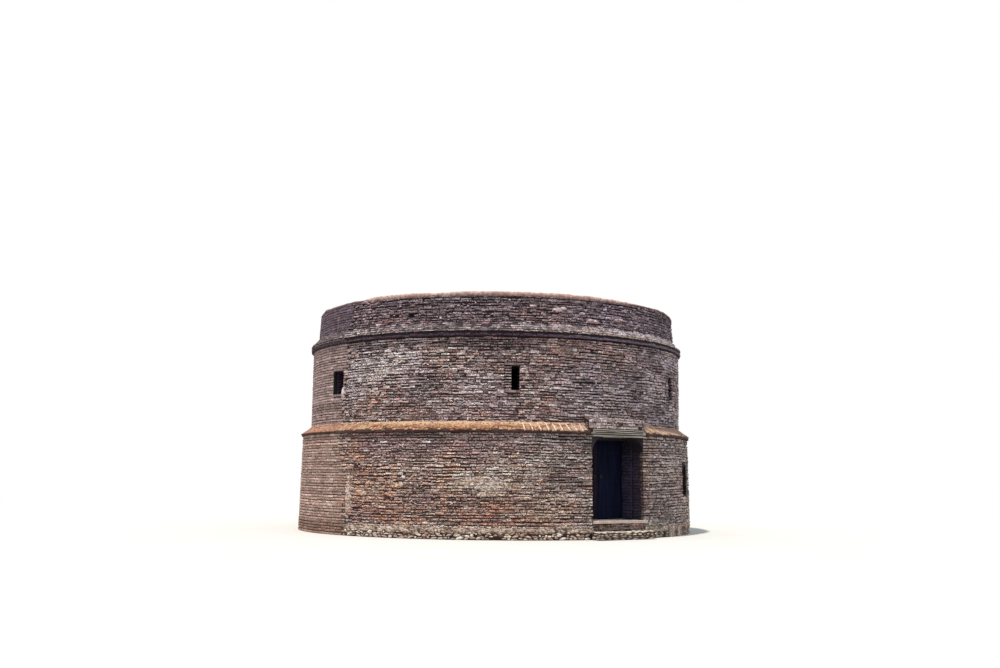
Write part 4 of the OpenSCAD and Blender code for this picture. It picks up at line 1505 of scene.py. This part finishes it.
# The panel over the doorway: thin boards stacked on the lintel, and above them plain brick courses that
# fill the gap in the tiled ledge.

PANEL_TOP = 3.0
PANEL_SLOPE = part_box("over_door_panel")[1].z - PANEL_TOP
WALL_TOP_R = BASE_R - BATTER


def panel_outline(height):
    if height <= PANEL_TOP + 0.001:
        return WALL_TOP_R
    return between(WALL_TOP_R, UPPER_R, (height - PANEL_TOP) / PANEL_SLOPE)


panel_bed = mortar_bed("panel_mortar", ["over_door_panel"], panel_outline, lambda bearing, height: 0.04,
                       (2.7, 2.76, 2.82, 2.88, 2.94), mortar_material)
for vert in panel_bed.data.vertices:
    if abs(vert.co.x) > PANEL_HALF - 0.004:
        vert.co.x -= math.copysign(0.035, vert.co.x)
bm = bmesh.new()
stack_low = LOWER_TOP + 0.004
thin = 0.026
stack_pitch = thin + 0.02
stack_boards = 3
for number in range(stack_boards):
    level_low = stack_low + number * stack_pitch
    half = lintel_half + dice.uniform(-0.05, 0.05)
    front = lintel_front + 0.014 + dice.uniform(-0.01, 0.02)
    board(bm, (-half, front, level_low), (half, front + 0.16, level_low + thin), dice)
stack = shown(bm, "stacked_boards", grey_wood_material)
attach(stack, "tower")
heap = Heap("panel_bricks", joint_shade=0.3)
panel_low = stack_low + stack_boards * stack_pitch
panel_courses = 3
panel_course = (PANEL_TOP + 0.01 - panel_low) / panel_courses
panel_weather = Weather({"plum": 6, "ash": 50, "umber": 14, "fawn": 30}, cool, [], seed=41.0, light=1.42,
                        burnt=0.02, limed=0.0, shade_blue=0.0)
slope_pitch = 0.085
panel_rows = [(panel_low + panel_course * step, panel_course, WALL_TOP_R) for step in range(panel_courses)]
panel_rows += [(PANEL_TOP + 0.002 + 0.02 * step, 0.05, WALL_TOP_R - slope_pitch * (step + 0.6))
               for step in range(2)]
for row_low, tall, radius in panel_rows:
    half_turn = math.degrees(math.asin((PANEL_HALF - 0.005) / radius))
    place = along_ring(-half_turn, radius, row_low + 0.005)

    def look(at, matrix):
        paint = panel_weather.paint(0, row_low, dice)
        if row_low > PANEL_TOP:
            paint = mixed_paint(paint, CLAYS["soot"], 0.35)
        return paint, 0.004 + abs(dice.gauss(0, 0.012)), 1

    lay_course(heap, old_stock, place, math.radians(2 * half_turn) * radius, tall, look, OLD_MIX, 0.014, dice)
for hand in (-1, 1):
    for step in range(5):
        row_low = LOWER_TOP + 0.07 * step

        def place(at):
            corner = Matrix.Translation((hand * PANEL_HALF, -UPPER_R - 0.09 + at * -hand, row_low + 0.005))
            return corner @ Matrix.Rotation(math.radians(90 * hand), 4, "Z")

        def look(at, matrix):
            paint = mixed_paint(panel_weather.paint(0, row_low, dice), CLAYS["soot"], 0.3)
            return paint, 0.012 + abs(dice.gauss(0, 0.004)), 1

        lay_course(heap, old_stock, place, 0.11, 0.07, look, OLD_MIX, 0.014, dice)
panel_bricks = heap.finish(brick_material)
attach(panel_bricks, "tower")


# The upper wall: the same bricks, greyer and more eaten by the weather, in piers with a window's opening
# between each two.

UPPER_LOW = 2.895
UPPER_TOP = 5.05


def upper_radius(height):
    return UPPER_R


WINDOWS = [(-86, 0.47), (-30, 0.39), (30, 0.39), (86, 0.47), (150, 0.42), (210, 0.42)]
WINDOW_SILL = 3.70
WINDOW_HEAD = 4.335
SLAB = 0.06
UPPER_OPENINGS = [(bearing, width, WINDOW_SILL - SLAB, WINDOW_HEAD + SLAB) for bearing, width in WINDOWS]
UPPER_NODES = ["upper_wall_front", "upper_wall_front_right", "upper_wall_back_right", "upper_wall_back",
               "upper_wall_back_left", "upper_wall_front_left", "window_aprons", "window_heads"]
UPPER_COURSES = 30
upper_bed = mortar_bed("upper_mortar", UPPER_NODES, upper_radius, skin_depth,
                       levels_between(UPPER_LOW, UPPER_TOP, UPPER_COURSES), mortar_material, room_material,
                       inner=ROOM_R, openings=UPPER_OPENINGS)


# Warmer left of the doorway than right of it: partly the bricks' own tones, partly painted sunlight and
# shade.
def upper_tone_and_sun(bearing, height):
    return 0.43 if -90 < bearing < 0 else 0.2


upper_weather = Weather(
    {"plum": 22, "ash": 18, "umber": 22, "fawn": 14, "clay": 8, "soot": 7, "lichen": 9, "rust": 3},
    upper_tone_and_sun,
    [(-67, 4.3, 12, 0.55, "lime", 0.55), (-61.5, 4.52, 4.5, 0.2, "lime", 0.85),
     (-68, 4.1, 3, 0.2, "lime", 0.5), (-52, 4.3, 6, 0.32, "rust", 0.25), (-38, 3.95, 5.5, 0.42, "fawn", 0.6),
     (-64, 3.2, 14, 0.3, "rust", 0.28), (-42, 4.75, 12, 0.2, "soot", 0.5), (-22, 3.75, 5, 0.7, "umber", 0.6),
     (-2, 3.5, 12, 0.46, "ash", 0.5), (-26, 3.1, 10, 0.16, "plum", 0.6), (-20, 3.27, 3.2, 0.2, "rust", 0.6),
     (-6.5, 4.1, 5, 0.07, "rust", 0.6), (-32, 4.66, 6, 0.05, "lime", 0.7), (26, 4.2, 10, 0.6, "plum", 0.3),
     (-40, 4.93, 17, 0.13, "plum", 0.8), (-30, 4.8, 6, 0.13, "soot", 0.5), (-41, 4.6, 5, 0.12, "rust", 0.5),
     (-37, 4.28, 5, 0.08, "rust", 0.6), (0, 4.4, 16, 0.6, "umber", 0.6), (-2, 3.3, 9, 0.3, "lichen", 0.6),
     (-14, 3.02, 12, 0.1, "soot", 0.5), (-14, 4.5, 5, 0.35, "soot", 0.35)],
    seed=9.0, light=1.19, burnt=0.1, limed=0.12, eaten=0.07, shade_blue=0.1)
heap = Heap("upper_bricks_old")
lay_old_ring(heap, old_stock, upper_weather, UPPER_LOW, UPPER_TOP, UPPER_COURSES, upper_radius,
             crumbled(UPPER_OPENINGS), dice)
strew_crumbs(heap, UPPER_LOW, UPPER_TOP, upper_radius, UPPER_OPENINGS, 4200, dice)
upper_old = heap.finish(brick_material)
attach(upper_old, "tower")


def even_paint(dark, pale):
    """Paints the plain brick of the rebuilt side, which is greyer up here, between two colours."""
    return lambda bearing, height, dice: lit(mixed_paint(dark, pale, dice.random()), dice.gauss(1.0, 0.06))


heap = Heap("upper_bricks_rebuilt")
lay_new_ring(heap, new_stock, even_paint((160, 137, 134), (196, 173, 169)), UPPER_LOW, UPPER_TOP,
             UPPER_COURSES, upper_radius, crumbled(UPPER_OPENINGS), dice)
upper_new = heap.finish(rebuilt_material)
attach(upper_new, "tower")


# The windows: a slab of pale stone for each sill and lintel, brick sides, and in one of them a narrow
# pier of brick that fills the left half.

pale_stone_material, pale_stone = new_finish("pale_slabs")
grit = pale_stone.grain(150, 4.0)
blotch = pale_stone.grain(9, 5.0)
tone = pale_stone.turned(blotch, 0.3, 0.7, (96, 80, 80), (164, 146, 142))
pale_stone.surface(tone, 0.88, grit * 0.4 + blotch * 0.6, 0.006)
for part in ("sills", "lintels"):
    slabs = roughened("window_" + part, "window_" + part + "_worn", 3, 0.008, pale_stone_material)

# A long stone leans in the left window's right corner.
heap = Heap("leaning_stone")
leaning = facing(-83.5, UPPER_R - 0.035, 3.73) @ Matrix.Rotation(0.2, 4, "Y")
heap.put(cobbles[0], leaning @ Matrix.Diagonal((0.12, 0.08, 0.34, 1)), (226, 214, 206))
leaning_stone = heap.finish(stone_material)
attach(leaning_stone, "tower")

heap = Heap("window_side_bricks")
window_courses = 9
holes = [(turn, width, UPPER_R, WINDOW_SILL, WINDOW_HEAD, window_courses) for turn, width in WINDOWS]
holes += [(turn, SLIT_WIDE, lower_radius(1.5), SLIT_SILL, SLIT_HEAD, 12) for turn in SLIT_BEARINGS]
for turn, width, face_r, sill, head, courses in holes:
    lay_jambs(heap, old_stock, hollow_weather, HOLLOW_SHADE_TONE, turn, width / 2, face_r - BRICK_DEEP - 0.03,
              ROOM_R + 0.05, sill, head, courses, 0.006, dice)
# The window and slit side bricks take the painted-shade brick finish.
window_sides = heap.finish(shaded_material)
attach(window_sides, "tower")

INFILL_BEARING = WINDOWS[1][0]
INFILL_LEFT = -WINDOWS[1][1] / 2
INFILL_WIDE = 0.18
INFILL_FRONT = UPPER_R - 0.04
heap = Heap("window_infill_bricks")
infill_turn = Matrix.Rotation(math.radians(INFILL_BEARING), 4, "Z")
infill_course = (WINDOW_HEAD - WINDOW_SILL) / window_courses
for step in range(window_courses):
    shape, stretch = old_stock.take(INFILL_WIDE, dice)
    middle = INFILL_LEFT + INFILL_WIDE / 2
    place = Matrix.Translation((middle, -INFILL_FRONT + dice.uniform(-0.004, 0.008),
                                WINDOW_SILL + infill_course * step + 0.006))
    size = Matrix.Diagonal((stretch, 1.6, infill_course * 0.5 / old_stock.height, 1))
    paint = mixed_paint(upper_weather.paint(INFILL_BEARING, 4, dice), (190, 176, 180), 0.8)
    heap.put(shape, infill_turn @ place @ size, paint)
infill = heap.finish(brick_material)
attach(infill, "tower")
# The mortar behind the infill's thin courses is marked deep, so it turns near black: painted shade between
# them.
infill_core = roughened("window_infill", "window_infill_core", 2, 0.01, mortar_material, least=0.045)
buried(infill_core, 0.08)


# The moulding: a face course of hard dark brick that stands out over the upper wall, a drip course over it,
# and three courses that step back above them to the parapet's foot. The face course's darkness is partly
# the brick's own and partly painted shade, and a course set back under the drip is painted near black as
# the drip's shade.

MOULD_NOSE = 5.504
MOULD_LOW = 5.08
MOULD_TOP = 5.23
PARAPET_LOW = 5.45
PARAPET_R = 5.294


def mould_outline(height):
    if height < MOULD_LOW - 0.001:
        return between(UPPER_R, MOULD_NOSE, (height - UPPER_TOP) / (MOULD_LOW - UPPER_TOP))
    if height <= MOULD_TOP + 0.001:
        return MOULD_NOSE
    return between(MOULD_NOSE, PARAPET_R, (height - MOULD_TOP) / (PARAPET_LOW - MOULD_TOP))


def parapet_tone_and_sun(bearing, height):
    """The moulding's and the parapet's brick greys and blues towards the right, partly in its own colour
    and partly as painted shade.
    """
    return 0.5 if -95 < bearing < -10 else 0.22


def mould_sunk(bearing, height):
    if is_rebuilt(bearing, height):
        return 0.03
    return 0.045 + 0.01 * noise.noise(spot(bearing, 5.5, height) * 5)


mould_bed = mortar_bed("moulding_mortar", ["moulding_left", "moulding_right"], mould_outline, mould_sunk,
                       (5.12, 5.16, 5.2, 5.26, 5.33, 5.4), mortar_material)
# Rain washes the mortar of the slope paler, most of all to the right.
for vert, value in zip(mould_bed.data.vertices, mould_bed.data.attributes["sunk"].data):
    if vert.co.z > MOULD_TOP + 0.02:
        washed = span_share(bearing_of(vert.co), -30, 170, 16.0)
        value.value = between(0.03, 0.024, washed) + 0.012 * noise.noise(vert.co * 7)
mould_weather = Weather({"soot": 24, "plum": 50, "umber": 10, "ash": 16}, parapet_tone_and_sun,
                        [(-45, 5.15, 30, 0.1, "soot", 0.6), (20, 5.15, 24, 0.1, "ash", 0.8)],
                        seed=51.0, shade_blue=0.0)
slope_weather = Weather({"plum": 18, "umber": 22, "fawn": 20, "clay": 18, "ash": 16, "soot": 6}, upper_tone_and_sun,
                        [(-2, 5.34, 22, 0.14, "sand", 0.9), (22, 5.32, 22, 0.14, "lime", 0.8)],
                        seed=57.0, light=1.3, burnt=0.12, limed=0.16, shade_blue=0.05)
face_heap = Heap("moulding_face_bricks", joint_shade=0.3)
heap = Heap("moulding_bricks", joint_shade=0.3)
slope_course = (PARAPET_LOW - MOULD_TOP - 0.008) / 3
drip = 0.045
face_course = 0.068
gap_course = MOULD_TOP - MOULD_LOW - drip - face_course + 0.006
# The course under the drip is painted near black: painted shade under the drip.
drip_shade_weather = Weather({"soot": 100}, cool, [], seed=53.0, light=0.5, shade_blue=0.2)
MOULD_ROWS = [(MOULD_LOW - 0.006, face_course, MOULD_NOSE - 0.008, mould_weather),
              (MOULD_LOW + face_course - 0.004, gap_course, MOULD_NOSE - 0.042, drip_shade_weather),
              (MOULD_TOP - drip + 0.012, drip, MOULD_NOSE, slope_weather)]
for step in range(3):
    row_low = MOULD_TOP + 0.006 + slope_course * step
    MOULD_ROWS.append((row_low, slope_course, mould_outline(row_low + slope_course - 0.006), slope_weather))
for row_low, tall, radius, weather in MOULD_ROWS:
    place = along_ring(-180, radius, row_low + 0.004)

    def look(at, matrix):
        bearing = -180 + math.degrees(at / radius)
        if is_rebuilt(bearing, row_low):
            dark = (104, 68, 84) if weather is slope_weather else (66, 34, 54)
            if weather is mould_weather:
                dark = (106, 78, 74)
            flush = MOULD_NOSE - 0.006 - radius if weather is drip_shade_weather else 0
            return mixed_paint(dark, CLAYS["plum"], dice.uniform(0, 0.3)), 0.004 - flush, 1
        paint = weather.paint(bearing, row_low, dice)
        if tall == drip:
            pale = kept_in((bearing + 42) / 20, 0, 1) * dice.uniform(0.1, 0.75)
            washed = CLAYS[dice.choice(["fawn", "sand", "lime"])]
            paint = mixed_paint(mixed_paint(paint, CLAYS["soot"], 0.4), washed, pale)
        if weather is mould_weather:
            tone = mixed_paint((104, 82, 74), (180, 168, 142), kept_in((bearing + 28) / 22, 0, 1))
            paint = mixed_paint(paint, tone, 0.85)
        ragged = 0.014 if weather is slope_weather else 0.006
        return paint, 0.004 + abs(dice.gauss(0, ragged)), 1 - ragged * 12 * dice.random()

    row_heap = face_heap if weather is mould_weather else heap
    lay_course(row_heap, old_stock, place, 2 * math.pi * radius, tall, look, OLD_MIX, 0.010, dice)
# The face course takes the painted-shade brick finish.
for moulding in (heap.finish(brick_material), face_heap.finish(shaded_material)):
    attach(moulding, "tower")


# The parapet: brick on both faces, with a few pale stones let into it.

PARAPET_TOP = 6.176
PARAPET_IN_R = 4.794
PARAPET_LEAN = 0.043


def parapet_radius(height):
    return PARAPET_R - PARAPET_LEAN * (height - PARAPET_LOW) / (PARAPET_TOP - PARAPET_LOW)


PARAPET_COURSES = 10
parapet_bed = mortar_bed("parapet_mortar", ["parapet_left", "parapet_right"], parapet_radius, skin_depth,
                         levels_between(PARAPET_LOW, PARAPET_TOP, PARAPET_COURSES), mortar_material,
                         mortar_material, inner=PARAPET_IN_R)
parapet_weather = Weather(
    {"plum": 34, "umber": 20, "ash": 12, "soot": 18, "clay": 8, "fawn": 6, "rust": 6, "lichen": 2},
    parapet_tone_and_sun,
    [(-22, 5.48, 4, 0.05, "rust", 0.8), (-40, 6.02, 26, 0.1, "soot", 0.6), (22, 6.05, 26, 0.14, "soot", 0.7),
     (-72, 5.8, 9, 0.3, "rust", 0.5), (-60, 5.7, 8, 0.1, "clay", 0.5), (-50, 5.5, 12, 0.06, "rust", 0.35),
     (4, 5.64, 16, 0.16, "lime", 0.5), (-14, 5.8, 6, 0.1, "ash", 0.5), (22, 5.8, 22, 0.3, "plum", 0.5)],
    seed=17.0, light=0.86, burnt=0.24, limed=0.22, eaten=0.13, shade_blue=0.07)
heap = Heap("parapet_bricks_old")
lay_old_ring(heap, old_stock, parapet_weather, PARAPET_LOW, PARAPET_TOP, PARAPET_COURSES, parapet_radius, [],
             dice)
strew_crumbs(heap, PARAPET_LOW, PARAPET_TOP, parapet_radius, [], 800, dice)
# A few river stones were set in among the bricks: (bearing, height, width, height of the stone).
SET_STONES = [(-17, 5.8, 0.3, 0.13), (-15.2, 5.84, 0.2, 0.1), (-6.8, 5.58, 0.26, 0.11),
              (-4.9, 5.56, 0.2, 0.1), (2.9, 5.66, 0.2, 0.1), (4.6, 5.68, 0.24, 0.1), (12.5, 5.6, 0.2, 0.08),
              (-24, 5.88, 0.18, 0.08), (-9.4, 5.74, 0.2, 0.1), (96, 5.7, 0.2, 0.1), (140, 5.8, 0.24, 0.1)]
for bearing, level, wide, tall in SET_STONES:
    place = facing(bearing, parapet_radius(level) - 0.03, level)
    paint = mixed_paint((220, 212, 202), (160, 142, 132), dice.random())
    heap.put(dice.choice(cobbles), place @ Matrix.Diagonal((wide, 0.09, tall, 1)), paint)
parapet_old = heap.finish(brick_material)
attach(parapet_old, "tower")

heap = Heap("parapet_bricks_rebuilt")
lay_new_ring(heap, new_stock, even_paint((94, 77, 90), (126, 108, 122)), PARAPET_LOW, PARAPET_TOP,
             PARAPET_COURSES, parapet_radius, [], dice)
parapet_new = heap.finish(rebuilt_material)
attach(parapet_new, "tower")

PARAPET_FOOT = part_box("terrace")[1].z
inner_courses = 14
inner_course = (PARAPET_TOP - PARAPET_FOOT) / inner_courses
inner_weather = Weather({"plum": 20, "umber": 24, "ash": 18, "clay": 16, "fawn": 14, "soot": 8}, upper_tone_and_sun,
                        [], seed=61.0)
heap = Heap("parapet_inner_bricks")
for step in range(inner_courses):
    row_low = PARAPET_FOOT + inner_course * step

    def place(at):
        bearing = -math.degrees(at / PARAPET_IN_R)
        turned = Matrix.Rotation(math.radians(bearing + 180), 4, "Z")
        return Matrix.Translation(spot(bearing, PARAPET_IN_R, row_low + 0.006)) @ turned

    def look(at, matrix):
        back = 0.002 + abs(dice.gauss(0, 0.005))
        return inner_weather.paint(-math.degrees(at / PARAPET_IN_R), row_low, dice), back, 1

    lay_course(heap, old_stock, place, 2 * math.pi * PARAPET_IN_R, inner_course, look, OLD_MIX, 0.013, dice)
parapet_inner = heap.finish(brick_material)
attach(parapet_inner, "tower")


# The coping: a rounded bed of pale mortar, trowelled along the parapet's head and long since cracked.

COPING_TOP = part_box("coping_right")[1].z
COPING_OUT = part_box("coping_right")[1].y
coping_material, coping_finish = new_finish("coping_mortar")
fine = coping_finish.grain(150, 4.0)
coarse = coping_finish.grain(12, 6.0)
tone = coping_finish.turned(coarse, 0.35, 0.7, (158, 126, 116), (204, 172, 160))
grubby = coping_finish.turned(coping_finish.grain(5, 5.0), 0.5, 0.7, tone, (104, 86, 80), 0.6)
left_on = coping_finish.kept("left_on")
# Where the mortar has gone the bricks show, lighter where they face up and darker where upright: painted
# light and shade.
bare_bricks_lit_and_shaded = coping_finish.turned(coping_finish.facing_up(), 0.3, 0.9, (74, 52, 56), (124, 102, 94))
worn_off = coping_finish.turned(left_on + 0.7 * (coarse - 0.5), 0.1, 0.8, bare_bricks_lit_and_shaded, grubby)
coping_finish.surface(worn_off, 0.92, fine * 0.4 + coarse * 0.6, 0.012)
outline = [(COPING_OUT - 0.03, PARAPET_TOP - 0.05), (COPING_OUT - 0.002, PARAPET_TOP - 0.03),
           (COPING_OUT - 0.004, PARAPET_TOP + 0.03), (COPING_OUT - 0.03, COPING_TOP - 0.008),
           (COPING_OUT - 0.12, COPING_TOP), (COPING_OUT - 0.25, COPING_TOP),
           (PARAPET_IN_R + 0.12, COPING_TOP), (PARAPET_IN_R + 0.03, COPING_TOP - 0.008),
           (PARAPET_IN_R + 0.006, PARAPET_TOP + 0.03), (PARAPET_IN_R + 0.003, PARAPET_TOP - 0.05)]
bm = spun(outline, 360)
left_on = []
for vert in bm.verts:
    bearing = bearing_of(vert.co)
    whole = kept_in((bearing + 77) / 3, 0, 1) * kept_in((12 - bearing) / 14, 0, 1)
    whole += 0.5 * (1 - span_share(bearing, -112, 74, 24.0))
    left_on.append(kept_in(0.1 + whole + 0.3 * noise.noise(vert.co * 1.5), 0, 1))
    if vert.co.z > PARAPET_TOP:
        lift = 0.9 * whole + 0.5 * noise.noise(vert.co * 1.1) + 0.4 * noise.noise(vert.co * 5.0)
        vert.co.z -= 0.05 * kept_in(1 - lift, 0, 1)
    radius = vert.co.xy.length
    bite = 0.012 * kept_in(0.5 + noise.noise(vert.co * 3.3), 0, 1)
    inwards = -bite if radius > (COPING_OUT + PARAPET_IN_R) / 2 else bite
    vert.co.xy *= (radius + inwards) / radius
bmesh.ops.recalc_face_normals(bm, faces=bm.faces)
coping = shown(bm, "coping_bed", coping_material)
noted(coping, "left_on", left_on)
smoothed(coping)
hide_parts("coping_left", "coping_right")
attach(coping, "tower")


# The floors: the ground floor and the terrace are paved with flat brick laid in rows on lime.

paving_material, paving = new_finish("lime_floor")
trodden = paving.grain(5, 6.0)
spots = paving.grain(80, 4.0)
floor_tone = paving.turned(trodden, 0.35, 0.7, (118, 100, 88), (150, 130, 114))
paving.surface(paving.blend(spots * 0.3, floor_tone, (96, 80, 72)), 0.9, trodden * 0.5 + spots * 0.5, 0.006)
PAVER_LONG = 0.235
PAVER_WIDE = 0.118
PAVER_DEEP = 0.03


def paver(length, dice):
    """A flat brick with its top at z = 0 and a worn upper rim."""
    bm = block((length, PAVER_WIDE - 0.01, PAVER_DEEP), (0, 0, -PAVER_DEEP / 2))
    rubbed(bm, [edge for edge in bm.edges if all(vert.co.z > -0.001 for vert in edge.verts)], 0.006)
    return worn(bm, 0.0022, dice)


pavers = [paver(PAVER_LONG - 0.01, dice) for variant in range(6)]
paving_weather = Weather({"clay": 30, "umber": 26, "ash": 16, "fawn": 14, "plum": 10, "rust": 4}, cool, [],
                         seed=71.0, light=0.92, burnt=0.03, limed=0.04)
for node, radius in (("ground_floor", ROOM_R - 0.03), ("terrace", PARAPET_IN_R - 0.04)):
    bm = clean_copy(node)
    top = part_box(node)[1].z
    for vert in bm.verts:
        if vert.co.z > top - 0.001:
            vert.co.z -= 0.007
    floor_bed = shown(bm, node + "_bed", paving_material)
    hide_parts(node)
    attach(floor_bed, "tower")
    heap = Heap(node + "_paving")
    rows = int(2 * radius / PAVER_WIDE)
    for row in range(rows):
        across = PAVER_WIDE * (row + 0.5 - rows / 2)
        half = math.sqrt(radius ** 2 - (abs(across) + PAVER_WIDE / 2) ** 2)
        at = -half
        first = PAVER_LONG * dice.choice((0.5, 1.0))
        while at < half - 0.04:
            size = min(first, half - at)
            place = Matrix.Translation((at + size / 2, across, top - 0.001 - dice.uniform(0, 0.003)))
            turn = Matrix.Rotation(dice.gauss(0, 0.006), 4, "Z")
            stretch = Matrix.Diagonal((size / PAVER_LONG, 1, 1, 1))
            paint = paving_weather.paint(across * 40, at, dice)
            if node == "terrace":
                paint = mixed_paint(paint, (112, 96, 84), 0.6)
            heap.put(dice.choice(pavers), place @ turn @ stretch, paint)
            at += size
            first = PAVER_LONG
    paved = heap.finish(brick_material)
    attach(paved, "tower")


# What the frame already has right keeps its shape and only takes a finish: the door's frame, ledge boards
# and ironwork, the upper floor, the beams and the masonry round the reveal.

raw_wood_material, raw_wood = new_finish("old_beams")
fibre = raw_wood.grain(26, 6.0, (1.0, 0.06, 1.0))
browned = raw_wood.turned(fibre, 0.3, 0.7, (88, 68, 52), (134, 108, 84))
raw_wood.surface(browned, 0.8, fibre, 0.005)

corner_material, corner = new_finish("shaded_corner_brick")
soot = corner.grain(24, 5.0, (1.0, 1.0, 2.5))
across = corner.add("SeparateXYZ", Vector=corner.place())
in_shade = corner.blend(soot, (12, 10, 20), (32, 28, 40))
near_light = corner.blend(soot, (24, 18, 28), (64, 52, 62))
corner.surface(corner.blend(corner.ease(across, -0.5, 0.3), near_light, in_shade), 0.92, soot, 0.01)

PLAIN = {
    "door_frame": dark_wood_material, "left_leaf_ledgers": dark_wood_material,
    "right_leaf_ledgers": dark_wood_material, "left_leaf_ironwork": iron_material,
    "right_leaf_ironwork": iron_material, "door_pintles": iron_material, "upper_floor": raw_wood_material,
    "upper_floor_beams": raw_wood_material, "roof_beams": raw_wood_material,
    "door_head": corner_material, "door_corbels": corner_material}
for name, material in PLAIN.items():
    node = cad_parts[name]
    node.data.materials.clear()
    node.data.materials.append(material)
